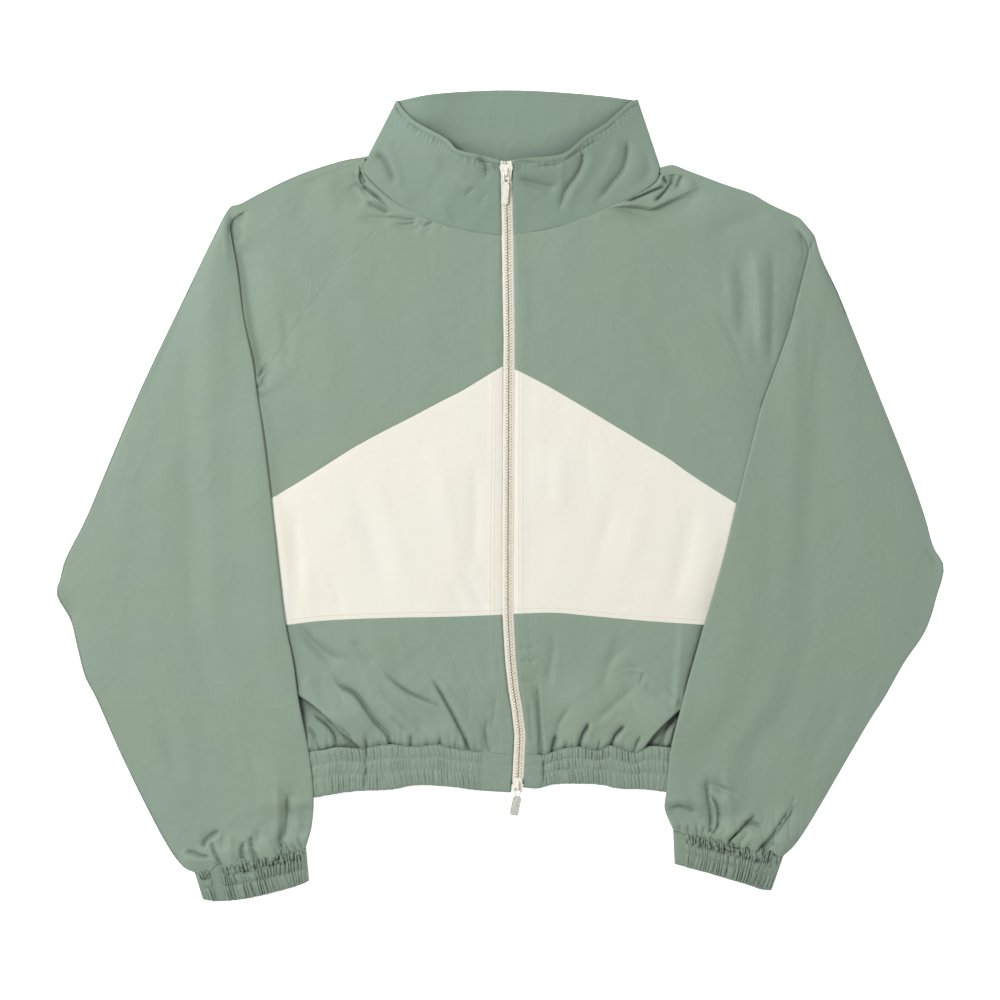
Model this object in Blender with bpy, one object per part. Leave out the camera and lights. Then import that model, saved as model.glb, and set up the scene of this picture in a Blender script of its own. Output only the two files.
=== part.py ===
"""A zip-front bomber jacket with raglan sleeves, lying flat on its back with the front up.

X runs to the right as the jacket is seen from above, Y towards the collar and Z up from the
surface it lies on. The origin is on that surface, under the middle of the jacket's outline.
"""
from collections import namedtuple
from math import atan2, cos, exp, hypot, pi, sin

import bmesh
import bpy
from mathutils import Matrix, Vector

for old in list(bpy.data.objects):
    bpy.data.objects.remove(old, do_unlink=True)

MM = 0.001

# Walls, in mm
CLOTH_WALL = 1.2         # nylon with its turned seams
COLLAR_WALL = 2.0        # two layers
BAND_WALL = 1.6          # elasticated casing of hem and cuffs
TAPE_WALL = 1.0          # zip tape
CHAIN_WALL = 2.4         # both rows of teeth, in mesh

# Clearances, in mm
SEAM_GAP = 0.3
NECK_GAP = 0.6           # wider, because the collar leans away from its seam
GATHER_GAP = 0.9         # wider, because the front bulges over the hem band
CUFF_GAP = 1.0           # wider, because the sleeve is gathered into the cuff
LAYER_PITCH = 2.6        # from the middle of one sleeve layer to the next
TURN_IN = 3.0            # the sleeve's front edge, turned under at the underarm seam
PLEAT_LOW, PLEAT_HIGH = 0.75, 1.25    # pitches up to the pleat's middle layer at its two folds
PLEAT_CLEAR = 3.0        # how far past a pleat's hidden fold the layer over it stays high

# How high the layers lie, in mm
FLAT_Z = CLOTH_WALL / 2
SIDE_Z = 1.5 * CLOTH_WALL + SEAM_GAP          # the front at the side seam, just over the back
FRONT_RISE = 3.1                              # from the side seam to the middle of a front
FRONT_RISE_WIDTH = 40.0
BAND_LIFT = 1.5 * (BAND_WALL - CLOTH_WALL)
SLEEVE_BULGE = 2.0
SHOULDER_FOLD_Z = 3.0
DRAPE_START = 44.0                            # where the sleeve starts to climb the body
DRAPE_WIDTH = 30.0
BELOW_HEM = -325.0                            # where it has come down again
BELOW_HEM_WIDTH = 20.0
CUFF_INSIDE = 2.2
COLLAR_FOLD_Z = 4.4
COLLAR_RISE = 14.8                            # from the neck seam to the zip's top end
COLLAR_ROWS = 6
COLLAR_BACK_Z = COLLAR_WALL / 2

# The zip, in mm
FRONT_EDGE = 6.2                              # zip line to the turned edge of a front
TAPE_REACH = 13.0
TAPE_SPLIT = 0.4
TAPE_DROP = 2.4                               # middle of the tape below the front's
CHAIN_HALF = 2.3
CHAIN_DROP = 0.4
ZIP_STEP = 24.0

SAGE = (0.26, 0.37, 0.30)
SAGE_BAND = (0.24, 0.35, 0.28)
CREAM = (0.87, 0.85, 0.76)
TAPE_CREAM = (0.80, 0.76, 0.66)
METAL = (0.62, 0.61, 0.57)

Side = namedtuple("Side", "y left right")
BODY_SIDES = [Side(45, -274, 276),            # the armpits
              Side(-65, -271, 272),
              Side(-136, -269, 270),
              Side(-205, -250, 252),
              Side(-257, -210, 212),          # top of the hem band
              Side(-302, -206, 207)]

ZipPoint = namedtuple("ZipPoint", "y x")
ZIP_LINE = [ZipPoint(333, 6.0), ZipPoint(263, 7.5), ZipPoint(155, 9.0), ZipPoint(-45, 8.0),
            ZipPoint(-118, 8.0), ZipPoint(-165, 10.5), ZipPoint(-195, 13.5), ZipPoint(-215, 17.0),
            ZipPoint(-240, 20.0), ZipPoint(-275, 18.5), ZipPoint(-300, 17.0)]

Ridge = namedtuple("Ridge", "x y reach_x reach_y height")
RIDGES = [Ridge(-165, -226, 34, 20, 5.0),     # fullness that hangs over the hem band
          Ridge(-95, -214, 48, 26, 3.5),
          Ridge(-35, -225, 26, 20, 1.5),
          Ridge(88, -216, 42, 24, 3.2),
          Ridge(158, -222, 34, 24, 5.0)]

Point = namedtuple("Point", "x y")

# The neck seam in front, from the side fold to the zip, and the collar's top edge over it
NECK_LEFT = [Point(-133.5, 331), Point(-129, 318), Point(-120, 305), Point(-98, 287),
             Point(-70, 276), Point(-50, 270), Point(-31, 265.5), Point(1.3, 260.7)]
TOP_LEFT = [Point(-102.5, 395), Point(-97, 385), Point(-85, 374), Point(-66, 362),
            Point(-48, 348), Point(-31, 341.5), Point(-15, 337.5), Point(-0.2, 333.5)]
NECK_RIGHT = [Point(159.5, 327), Point(154, 315), Point(140, 304), Point(118, 291),
              Point(92, 280), Point(72, 273), Point(50, 267.5), Point(30, 263.5), Point(13.7, 260.7)]
TOP_RIGHT = [Point(136.5, 396), Point(128, 390), Point(115, 379), Point(100, 367.5),
             Point(85, 358), Point(70, 346), Point(55, 340), Point(35, 337), Point(12.2, 333.5)]
RAGLAN_AT = 4                                 # where the raglan seams meet the neck seam
BACK_NECK = [Point(-133.5, 331), Point(-100, 329.5), Point(-60, 327.8), Point(-20, 327),
             Point(30, 326.8), Point(80, 327.6), Point(120, 327.4), Point(159.5, 327)]
BACK_TOP = [Point(-102.5, 395), Point(-75, 400.5), Point(-45, 404), Point(-12, 406),
            Point(24, 406), Point(62, 404), Point(102, 400.5), Point(136.5, 396)]

# The sleeves, from the neck down. Shoulder rows run from the front raglan seam over the
# shoulder fold to the back raglan seam.
Shoulder = namedtuple("Shoulder", "front_x front_y outer_x outer_y back_x back_y")
SHOULDER_LEFT = [Shoulder(-70, 276, -135.4, 331, -60, 327),
                 Shoulder(-116, 275, -161, 334, -88, 292),
                 Shoulder(-150, 239, -202, 321, -116, 255),
                 Shoulder(-171, 215, -242, 302, -140, 225),
                 Shoulder(-187, 194, -273, 285, -162, 194)]
SHOULDER_RIGHT = [Shoulder(92, 280, 161.4, 327, 80, 326.8),
                  Shoulder(135, 268, 190, 325, 112, 292),
                  Shoulder(160, 237, 227, 311, 140, 255),
                  Shoulder(182, 211, 265, 296, 164, 225),
                  Shoulder(200, 185, 300, 278, 186, 194)]

# Pleat rows: the front folds under at "under", comes back to "inner", the edge that shows,
# and goes over the top to "outer". In the first row the pleat has only begun to step up.
Pleat = namedtuple("Pleat", "front_x front_y under_x under_y inner_x inner_y outer_x outer_y back_x back_y")
PLEAT_LEFT = [Pleat(-193, 185, -271.5, 271, -274, 272, -279.5, 275, -171, 183),
              Pleat(-200, 175, -277, 252, -268, 253, -288, 255, -180, 170),
              Pleat(-217, 150, -282, 195, -260, 198, -316, 199, -203, 140),
              Pleat(-232, 125, -284, 145, -251, 150, -340, 149, -228, 107),
              Pleat(-243, 103, -285, 97, -243, 102, -363, 100, -250, 79)]
PLEAT_RIGHT = [Pleat(208, 174, 303, 258, 305.5, 259, 312, 262, 195, 182),
               Pleat(216, 163, 313, 241, 308, 243, 323, 243, 204, 170),
               Pleat(233, 138, 314, 193, 297, 192, 342, 195, 227, 140),
               Pleat(247, 114, 306, 147, 284, 148, 361, 147, 250, 107),
               Pleat(260, 90, 298, 95, 264, 93, 382, 95, 268, 79)]

# Arm rows, from the armpit to the cuff seam: "under" is the underarm seam, beneath the sleeve.
Arm = namedtuple("Arm", "under_x under_y inner_x inner_y outer_x outer_y")
ARM_LEFT = [Arm(-281, 45, -236, 52, -386, 44),
            Arm(-280, 15, -232, 17, -400, 15),
            Arm(-279, -15, -228, -17, -413, -18),
            Arm(-278, -53, -224, -58, -431, -55),
            Arm(-277, -92, -219, -99, -445, -99),
            Arm(-276, -123, -215, -130, -431, -126),
            Arm(-269, -165, -208, -167, -419, -170),
            Arm(-256, -205, -202, -205, -406, -208),
            Arm(-242, -225, -198, -226, -396, -228),
            Arm(-227, -245, -194, -247, -387, -247),
            Arm(-214, -285, -188, -287, -367, -287),
            Arm(-214, -304, -187.5, -304, -358, -304),
            Arm(-214, -317, -187, -317, -351, -317),
            Arm(-217, -337, -190, -334, -337, -346),
            Arm(-219, -350, -191, -344, -323, -367),
            Arm(-221, -359.5, -195, -353.5, -306, -378.5)]
ARM_RIGHT = [Arm(284, 45, 250, 43, 403, 43),
             Arm(283, 17, 244, 17, 412, 17),
             Arm(281, -15, 236, -13, 424, -17),
             Arm(280, -50, 227, -50, 437, -52),
             Arm(279, -85, 216, -87, 445, -73),
             Arm(278, -123, 206, -123, 432, -123),
             Arm(271, -165, 195, -164, 411, -162),
             Arm(259, -205, 184, -205, 384, -205),
             Arm(244, -225, 179, -224, 373, -223),
             Arm(229, -245, 174, -242, 362, -241),
             Arm(216, -280, 168, -278, 341, -276),
             Arm(214, -305, 166, -307, 322, -309),
             Arm(208, -325, 169, -325, 304, -338),
             Arm(205, -337, 172, -331, 294, -353),
             Arm(205, -343, 174, -336, 284, -362)]

# Shares of the way from the front seam to the shoulder fold, just before the pleat starts
PLEAT_START_SHARES = [0, 0.35, 0.7, 0.93, 0.94, 0.95, 0.96, 0.965, 0.97, 0.975, 0.98, 0.985, 0.99, 1]
FRONT_RUN, INNER_RUN, TOP_RUN, BACK_RUN = 3, 2, 6, 6     # spans of cloth between the folds

Cuff = namedtuple("Cuff", "inner_x inner_y outer_x outer_y bow")
CUFF_LEFT = [Cuff(-195, -353.5, -306, -378.5, 0), Cuff(-193, -371, -302, -393, -2),
             Cuff(-192, -387, -298, -405, -4)]
CUFF_RIGHT = [Cuff(174, -336, 284, -362, 0), Cuff(175, -354, 278, -379, 0),
              Cuff(176, -371, 272, -396, 0)]
CUFF_SPANS = 5

# Seams across the fronts, from the side seam to the zip's edge
CHEVRON_TOP_SIDE_Y = -31
CHEVRON_TOP_ZIP_Y = {"left": 129, "right": 126}
CHEVRON_FOOT = {"left": [Point(-269, -136), Point(-213, -130), Point(-178, -126), Point(-108, -123),
                         Point(-52, -122), Point(2, -120)],
                "right": [Point(270, -136), Point(202, -130), Point(145, -126), Point(89, -121),
                          Point(55, -118), Point(14.2, -119)]}
HEM_TOP = {"left": [Point(-210, -257), Point(-165, -253), Point(-120, -252), Point(-75, -250),
                    Point(-29, -256), Point(12.7, -261)],
           "right": [Point(212, -257), Point(160, -253), Point(110, -251), Point(70, -252),
                     Point(45, -259), Point(25.5, -261)]}
HEM_FOOT = {"left": [Point(-206, -302), Point(-175, -301), Point(-147, -297), Point(-86, -291),
                     Point(-30, -295), Point(10.9, -297)],
            "right": [Point(207, -300), Point(165, -297), Point(118, -294), Point(76, -290),
                      Point(50, -291), Point(23.4, -294)]}
BACK_HEM_TOP_Y = -257
BACK_HEM_FOOT = [Point(-206, -299), Point(-147, -294), Point(-86, -288), Point(0, -291),
                 Point(76, -287), Point(118, -291), Point(207, -297)]

# Sliders and pull tabs, in mm. "reach" is the tab's length past its link.
Slider = namedtuple("Slider", "name y length wide narrow facing rest_drop lean reach width")
SLIDERS = [Slider("top", 323, 16, 13, 8.5, 1, 2.5, -7, 22, 7.5),
           Slider("bottom", -290.5, 14, 12, 8.5, -1, 9.0, -12, 20, 9.0)]
PLATE_LOW, PLATE_HIGH = 1.2, 2.8              # above the zip line
LEG_IN, LEG_OUT, LEG_LOW = 3.2, 4.4, -1.0
ARCH_WIDE, ARCH_LONG, ARCH_HIGH = 2.4, 9.0, 3.3
ARCH_HOLE_LONG, ARCH_HOLE_HIGH = 5.0, 2.6
PIN_UP, PIN_BACK = 1.6, 1.5                   # over the plate, and back from the arch's middle
LINK_WIDE, LINK_BAR, LINK_LONG = 5.8, 1.2, 10.0
PULL_WALL = 1.2
STOP_SIZE = Vector((2.0, 2.6, 1.5))
STOP_OUT = 4.4
STOP_Y = 331.6


def smooth(t):
    t = min(1.0, max(0.0, t))
    return t * t * (3 - 2 * t)


def refined(points, count):
    """The same polyline with count points: its longest spans are halved."""
    points = [Point(p[0], p[1]) for p in points]
    while len(points) < count:
        spans = [hypot(b.x - a.x, b.y - a.y) for a, b in zip(points, points[1:])]
        at = spans.index(max(spans))
        a, b = points[at], points[at + 1]
        points.insert(at + 1, Point((a.x + b.x) / 2, (a.y + b.y) / 2))
    return points


def interpolated(rows, y, field):
    """A column of a table whose rows run down in y, read between its rows."""
    if y >= rows[0].y:
        return getattr(rows[0], field)
    for above, below in zip(rows, rows[1:]):
        if y >= below.y:
            share = (above.y - y) / (above.y - below.y)
            return getattr(above, field) + (getattr(below, field) - getattr(above, field)) * share
    return getattr(rows[-1], field)


def zip_x(y):
    return interpolated(ZIP_LINE, y, "x")


def body_side(y, side):
    return interpolated(BODY_SIDES, y, side)


def side_of(x):
    return "left" if x < 0 else "right"


def inside_body(x, y):
    """How far a point lies inside the body's side edge."""
    return abs(body_side(y, side_of(x))) - abs(x)


def front_z(x, y):
    """The middle of the front's cloth."""
    z = SIDE_Z + FRONT_RISE * smooth(inside_body(x, y) / FRONT_RISE_WIDTH)
    for r in RIDGES:
        z += r.height * exp(-((x - r.x) / r.reach_x) ** 2 - ((y - r.y) / r.reach_y) ** 2)
    return z


def under_z(x, y):
    """The middle of the sleeve's lower layer: on the surface, or draped over the body."""
    over = smooth((inside_body(x, y) + DRAPE_START) / DRAPE_WIDTH)
    over *= smooth((y - BELOW_HEM) / BELOW_HEM_WIDTH)
    return FLAT_Z + over * (front_z(x, y) + LAYER_PITCH - FLAT_Z)


def collar_share_z(share):
    """How much of its rise the collar has at a share of its height."""
    return 0.6 * share + 0.4 * share * share


def zip_z(y):
    """The middle of the front's or the collar's cloth beside the zip."""
    neck_y = NECK_LEFT[-1].y
    top_y = TOP_LEFT[-1].y
    if y <= neck_y:
        return front_z(zip_x(y), y)
    return front_z(zip_x(neck_y), neck_y) + COLLAR_RISE * collar_share_z((y - neck_y) / (top_y - neck_y))


def material(name, colour, roughness, metallic=0.0):
    made = bpy.data.materials.get(name) or bpy.data.materials.new(name)
    made.use_nodes = True
    shader = made.node_tree.nodes["Principled BSDF"]
    shader.inputs["Base Color"].default_value = (*colour, 1.0)
    shader.inputs["Roughness"].default_value = roughness
    shader.inputs["Metallic"].default_value = metallic
    return made


def add_object(name, mesh, colour, roughness=0.6, metallic=0.0):
    made = bpy.data.objects.new(name, mesh)
    bpy.context.scene.collection.objects.link(made)
    mesh.materials.append(material(name, colour, roughness, metallic))
    return made


def toward(point, neighbour, before, after):
    """A level unit step from a sheet's edge into the sheet, square to that edge."""
    edge = (after - before).to_2d()
    step = (neighbour - point).to_2d()
    if edge.length > 0:
        edge.normalize()
        step -= edge * step.dot(edge)
    return step.normalized().to_3d()


def trimmed(grid, gaps):
    """The grid with its edges drawn in by half of each seam's gap: first, last, top, bottom."""
    rows, cols = len(grid), len(grid[0])
    shift = [[Vector() for _ in range(cols)] for _ in range(rows)]
    for i in range(rows):
        up, down = max(i - 1, 0), min(i + 1, rows - 1)
        shift[i][0] += gaps[0] / 2 * toward(grid[i][0], grid[i][1], grid[up][0], grid[down][0])
        shift[i][-1] += gaps[1] / 2 * toward(grid[i][-1], grid[i][-2], grid[up][-1], grid[down][-1])
    for j in range(cols):
        before, after = max(j - 1, 0), min(j + 1, cols - 1)
        shift[0][j] += gaps[2] / 2 * toward(grid[0][j], grid[1][j], grid[0][before], grid[0][after])
        shift[-1][j] += gaps[3] / 2 * toward(grid[-1][j], grid[-2][j], grid[-1][before], grid[-1][after])
    return [[grid[i][j] + shift[i][j] for j in range(cols)] for i in range(rows)]


def sheet(name, grid, wall, colour, closed=False):
    """A wall of cloth whose middle runs through the grid's points, which are in mm."""
    bm = bmesh.new()
    rows = [[bm.verts.new(point * MM) for point in row] for row in grid]
    for upper, lower in zip(rows, rows[1:]):
        spans = len(upper) if closed else len(upper) - 1
        for j in range(spans):
            k = (j + 1) % len(upper)
            bm.faces.new((upper[j], lower[j], lower[k], upper[k]))
    bmesh.ops.recalc_face_normals(bm, faces=bm.faces)
    mesh = bpy.data.meshes.new(name)
    bm.to_mesh(mesh)
    bm.free()
    mesh.shade_smooth()
    made = add_object(name, mesh, colour)
    thick = made.modifiers.new("Wall", "SOLIDIFY")
    thick.thickness = wall * MM
    thick.offset = 0.0
    thick.use_quality_normals = True
    return made


def flat_panel(name, outline, wall, colour):
    """A panel that lies flat on the surface."""
    bm = bmesh.new()
    low = bm.faces.new([bm.verts.new((p.x * MM, p.y * MM, 0)) for p in outline])
    raised = bmesh.ops.extrude_face_region(bm, geom=[low])
    top = [v for v in raised["geom"] if isinstance(v, bmesh.types.BMVert)]
    bmesh.ops.translate(bm, verts=top, vec=(0, 0, wall * MM))
    bmesh.ops.recalc_face_normals(bm, faces=bm.faces)
    mesh = bpy.data.meshes.new(name)
    bm.to_mesh(mesh)
    bm.free()
    return add_object(name, mesh, colour)


def patch(left, right, top, bottom, height):
    """A grid stretched between four edges that share their corners."""
    rows, cols = len(left), len(top)
    grid = []
    for i in range(rows):
        t = i / (rows - 1)
        row = []
        for j in range(cols):
            s = j / (cols - 1)
            x, y = [(1 - t) * top[j][k] + t * bottom[j][k] + (1 - s) * left[i][k] + s * right[i][k]
                    - (1 - s) * (1 - t) * top[0][k] - s * (1 - t) * top[-1][k]
                    - (1 - s) * t * bottom[0][k] - s * t * bottom[-1][k] for k in (0, 1)]
            row.append(Vector((x, y, height(x, y))))
        grid.append(row)
    return grid


def front_edge(side, y_from, y_to, count):
    """Points down the turned edge of a front, beside the zip."""
    out = -FRONT_EDGE if side == "left" else FRONT_EDGE
    heights = [y_from + (y_to - y_from) * i / (count - 1) for i in range(count)]
    return [Point(zip_x(y) + out, y) for y in heights]


def side_seam(side, y_from, y_to, count):
    heights = [y_from + (y_to - y_from) * i / (count - 1) for i in range(count)]
    return [Point(body_side(y, side), y) for y in heights]


def raglan_seam(side):
    """The front raglan seam, from the neck to the row above the armpit."""
    shoulder, pleat = (SHOULDER_LEFT, PLEAT_LEFT) if side == "left" else (SHOULDER_RIGHT, PLEAT_RIGHT)
    return [Point(r.front_x, r.front_y) for r in shoulder + pleat]


def make_fronts(side):
    neck = NECK_LEFT if side == "left" else NECK_RIGHT
    armpit_y = BODY_SIDES[0].y
    top_at = CHEVRON_TOP_ZIP_Y[side]
    foot = CHEVRON_FOOT[side]
    hem_top = HEM_TOP[side]
    hem_foot = HEM_FOOT[side]

    outer = raglan_seam(side) + side_seam(side, armpit_y, CHEVRON_TOP_SIDE_Y, 3)
    neck_run = refined(neck[RAGLAN_AT:], 6)
    neck_run[-1] = front_edge(side, neck[-1].y, top_at, 2)[0]
    chevron_top = [outer[-1], front_edge(side, top_at, 0, 2)[0]]
    grid = patch(outer, front_edge(side, neck[-1].y, top_at, len(outer)), neck_run,
                 refined(chevron_top, len(neck_run)), front_z)
    gaps = (SEAM_GAP, 0, NECK_GAP, SEAM_GAP)
    sheet(f"front_upper_{side}", trimmed(grid, gaps), CLOTH_WALL, SAGE)

    foot_run = refined(foot, 8)
    foot_run[-1] = front_edge(side, foot[-1].y, 0, 2)[0]
    grid = patch(side_seam(side, CHEVRON_TOP_SIDE_Y, foot[0].y, 5),
                 front_edge(side, top_at, foot[-1].y, 5),
                 refined(chevron_top, len(foot_run)), foot_run, front_z)
    gaps = (0, 0, SEAM_GAP, SEAM_GAP)
    sheet(f"front_chevron_{side}", trimmed(grid, gaps), CLOTH_WALL, CREAM)

    rows = 10
    hem_run = refined(hem_top, 12)
    hem_run[-1] = front_edge(side, hem_top[-1].y, 0, 2)[0]
    grid = patch(side_seam(side, foot[0].y, hem_top[0].y, rows),
                 front_edge(side, foot[-1].y, hem_top[-1].y, rows),
                 refined(foot_run, len(hem_run)), hem_run, front_z)
    gaps = (0, 0, SEAM_GAP, GATHER_GAP)
    sheet(f"front_lower_{side}", trimmed(grid, gaps), CLOTH_WALL, SAGE)

    foot_edge = refined(hem_foot, len(hem_run))
    foot_edge[-1] = front_edge(side, hem_foot[-1].y, 0, 2)[0]
    grid = patch(side_seam(side, hem_top[0].y, hem_foot[0].y, 3),
                 front_edge(side, hem_top[-1].y, hem_foot[-1].y, 3),
                 hem_run, foot_edge, lambda x, y: front_z(x, y) + BAND_LIFT)
    gaps = (0, 0, GATHER_GAP, 0)
    sheet(f"hem_front_{side}", trimmed(grid, gaps), BAND_WALL, SAGE_BAND)


def make_back():
    half_gap = SEAM_GAP / 2
    seams = {}
    for side, shoulder, pleat in (("left", SHOULDER_LEFT, PLEAT_LEFT),
                                  ("right", SHOULDER_RIGHT, PLEAT_RIGHT)):
        seams[side] = [Point(r.back_x, r.back_y) for r in shoulder + pleat]
        seams[side] += side_seam(side, BODY_SIDES[0].y, BACK_HEM_TOP_Y + half_gap, 7)
    inward = {"left": SEAM_GAP, "right": -SEAM_GAP}
    left = [Point(p.x + inward["left"], p.y) for p in seams["left"]]
    right = [Point(p.x + inward["right"], p.y) for p in seams["right"]]
    neck = [Point(p.x, p.y - NECK_GAP) for p in BACK_NECK[3:5]]
    flat_panel("back_panel", left + right[::-1] + neck[::-1], CLOTH_WALL, SAGE)

    top_y = BACK_HEM_TOP_Y - half_gap
    ends = [Point(body_side(top_y, side), top_y) for side in ("left", "right")]
    flat_panel("hem_back", [ends[0]] + BACK_HEM_FOOT + [ends[1]], BAND_WALL, SAGE_BAND)


def spaced(a, b, spans):
    """Points from a to b, both included."""
    return [Point(a[0] + (b[0] - a[0]) * i / spans, a[1] + (b[1] - a[1]) * i / spans)
            for i in range(spans + 1)]


def shoulder_row(row, index, last, neck_run):
    """Front raglan seam, over the shoulder fold, back to the back raglan seam."""
    front, outer = Point(row.front_x, row.front_y), Point(row.outer_x, row.outer_y)
    count = len(PLEAT_START_SHARES)
    bunching = max(0.0, (index - 1) / (last - 1))
    start_z = front_z(*front)
    over = []
    for i, share in enumerate(PLEAT_START_SHARES):
        t = (1 - bunching) * i / (count - 1) + bunching * share
        at = neck_run[i] if neck_run else Point(front.x + (outer.x - front.x) * t,
                                                front.y + (outer.y - front.y) * t)
        z = start_z + (SHOULDER_FOLD_Z - start_z) * smooth(t)
        over.append(Vector((at.x, at.y, z)))
    beneath = [Vector((p.x, p.y, FLAT_Z))
               for p in spaced(outer, (row.back_x, row.back_y), BACK_RUN)]
    return over + beneath


def top_run(inner, outer):
    """The upper layer, from the edge that shows to the outer fold."""
    run = []
    for i, p in enumerate(spaced(inner, outer, TOP_RUN)):
        lift = LAYER_PITCH + SLEEVE_BULGE * sin(pi * i / TOP_RUN)
        run.append(Vector((p.x, p.y, under_z(p.x, p.y) + lift)))
    return run


def pleat_row(row):
    front, under = (row.front_x, row.front_y), (row.under_x, row.under_y)
    inner, outer = (row.inner_x, row.inner_y), (row.outer_x, row.outer_y)
    first = [Vector((p.x, p.y, front_z(p.x, p.y))) for p in spaced(front, under, FRONT_RUN)]
    second = []
    for i, p in enumerate(spaced(under, inner, INNER_RUN)):
        lift = LAYER_PITCH * (PLEAT_LOW + (PLEAT_HIGH - PLEAT_LOW) * i / INNER_RUN)
        second.append(Vector((p.x, p.y, front_z(p.x, p.y) + lift)))
    third = top_run(inner, outer)
    for p in third:
        if abs(p.x) < abs(row.under_x) + PLEAT_CLEAR:
            p.z = max(p.z, front_z(p.x, p.y) + 2 * LAYER_PITCH)
    fourth = [Vector((p.x, p.y, FLAT_Z))
              for p in spaced(outer, (row.back_x, row.back_y), BACK_RUN)]
    return first + second + third + fourth


def arm_row(row, share_up):
    """The closed part: its seam is turned in at "under", beneath the sleeve."""
    outward = -1 if row.under_x < 0 else 1
    under, inner = (row.under_x, row.under_y), (row.inner_x, row.inner_y)
    start = (row.under_x - outward * TURN_IN, row.under_y)
    second = [Vector((p.x, p.y, under_z(p.x, p.y))) for p in spaced(under, inner, INNER_RUN)]
    first = [Vector((p.x, p.y, second[0].z - LAYER_PITCH)) for p in spaced(start, under, FRONT_RUN)]
    if first[0].z < FLAT_Z:
        lift = FLAT_Z - first[0].z
        first = [p + Vector((0, 0, lift)) for p in first]
        second = [p + Vector((0, 0, lift)) for p in second]
    third = top_run(inner, (row.outer_x, row.outer_y))
    third[0].z = max(third[0].z, second[-1].z + LAYER_PITCH)
    third[1].z = max(third[1].z, second[-1].z + LAYER_PITCH)
    end = (row.under_x + outward * (CLOTH_WALL / 2 + SEAM_GAP), row.under_y)
    fourth = [Vector((p.x, p.y, FLAT_Z + share_up * (under_z(p.x, p.y) - FLAT_Z)))
              for p in spaced((row.outer_x, row.outer_y), end, BACK_RUN)]
    return first + second + third + fourth


def make_sleeve(side):
    left = side == "left"
    shoulder = SHOULDER_LEFT if left else SHOULDER_RIGHT
    pleat = PLEAT_LEFT if left else PLEAT_RIGHT
    arm = ARM_LEFT if left else ARM_RIGHT
    neck = NECK_LEFT if left else NECK_RIGHT
    fold = Point(shoulder[0].outer_x, shoulder[0].outer_y)
    neck_run = refined(neck[RAGLAN_AT:0:-1] + [fold], len(PLEAT_START_SHARES))
    grid = [shoulder_row(row, i, len(shoulder) - 1, neck_run if i == 0 else None)
            for i, row in enumerate(shoulder)]
    grid += [pleat_row(row) for row in pleat]
    grid += [arm_row(row, min(1.0, i / 2)) for i, row in enumerate(arm)]
    gaps = (SEAM_GAP, SEAM_GAP, NECK_GAP, CUFF_GAP)
    sheet(f"sleeve_{side}", trimmed(grid, gaps), CLOTH_WALL, SAGE)


def make_cuff(side):
    grid = []
    for row in CUFF_LEFT if side == "left" else CUFF_RIGHT:
        across = spaced((row.inner_x, row.inner_y), (row.outer_x, row.outer_y), CUFF_SPANS)
        low, high = [], []
        for i, p in enumerate(across):
            share = sin(pi * i / CUFF_SPANS)
            y = p.y + row.bow * share
            low.append(Vector((p.x, y, BAND_WALL / 2)))
            high.append(Vector((p.x, y, BAND_WALL * 1.5 + CUFF_INSIDE * (0.6 + 0.4 * share))))
        grid.append(low + high[::-1])
    start = [toward(a, b, Vector(), Vector((0, 0, 1))) * CUFF_GAP / 2 for a, b in zip(*grid[:2])]
    grid[0] = [p + step for p, step in zip(grid[0], start)]
    sheet(f"cuff_{side}", grid, BAND_WALL, SAGE_BAND, closed=True)


def collar_columns():
    """Foot, top and their heights, from the zip's left edge round the back to its right edge."""
    columns = []
    for neck, top, side in ((NECK_LEFT, TOP_LEFT, "left"), (NECK_RIGHT, TOP_RIGHT, "right")):
        run = []
        count = len(neck) - 1
        for i, (foot, head) in enumerate(zip(neck, top)):
            share = sin(pi / 2 * i / count)
            low = COLLAR_FOLD_Z + (front_z(*foot) - COLLAR_FOLD_Z) * share
            run.append((foot, head, low, COLLAR_RISE * share))
        columns.append(run)
    back = [(foot, head, COLLAR_BACK_Z, 0.0) for foot, head in zip(BACK_NECK, BACK_TOP)]
    return columns[0][::-1] + back + columns[1]


def make_collar():
    columns = collar_columns()
    grid = []
    for i in range(COLLAR_ROWS):
        t = i / (COLLAR_ROWS - 1)
        row = []
        for foot, head, low, rise in columns:
            row.append(Vector((foot.x + (head.x - foot.x) * t, foot.y + (head.y - foot.y) * t,
                               low + rise * collar_share_z(t))))
        row[0].x = zip_x(row[0].y) - FRONT_EDGE
        row[-1].x = zip_x(row[-1].y) + FRONT_EDGE
        grid.append(row)
    sheet("collar", trimmed(grid, (0, 0, NECK_GAP, 0)), COLLAR_WALL, SAGE)


def zip_heights(top, bottom):
    """Places down the zip: the collar's rows first, then even steps."""
    neck_y, top_y = NECK_LEFT[-1].y, TOP_LEFT[-1].y
    rows = [top_y + (neck_y - top_y) * i / (COLLAR_ROWS - 1) for i in range(COLLAR_ROWS)]
    steps = round((neck_y - bottom) / ZIP_STEP)
    rows += [neck_y + (bottom - neck_y) * (i + 1) / steps for i in range(steps)]
    return [top] + [y for y in rows if y < top]


def zip_ribbon(name, top, bottom, offsets, drop, wall, colour):
    grid = [[Vector((zip_x(y) + out, y, zip_z(y) - drop)) for out in offsets]
            for y in zip_heights(top, bottom)]
    return sheet(name, grid, wall, colour)


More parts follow.
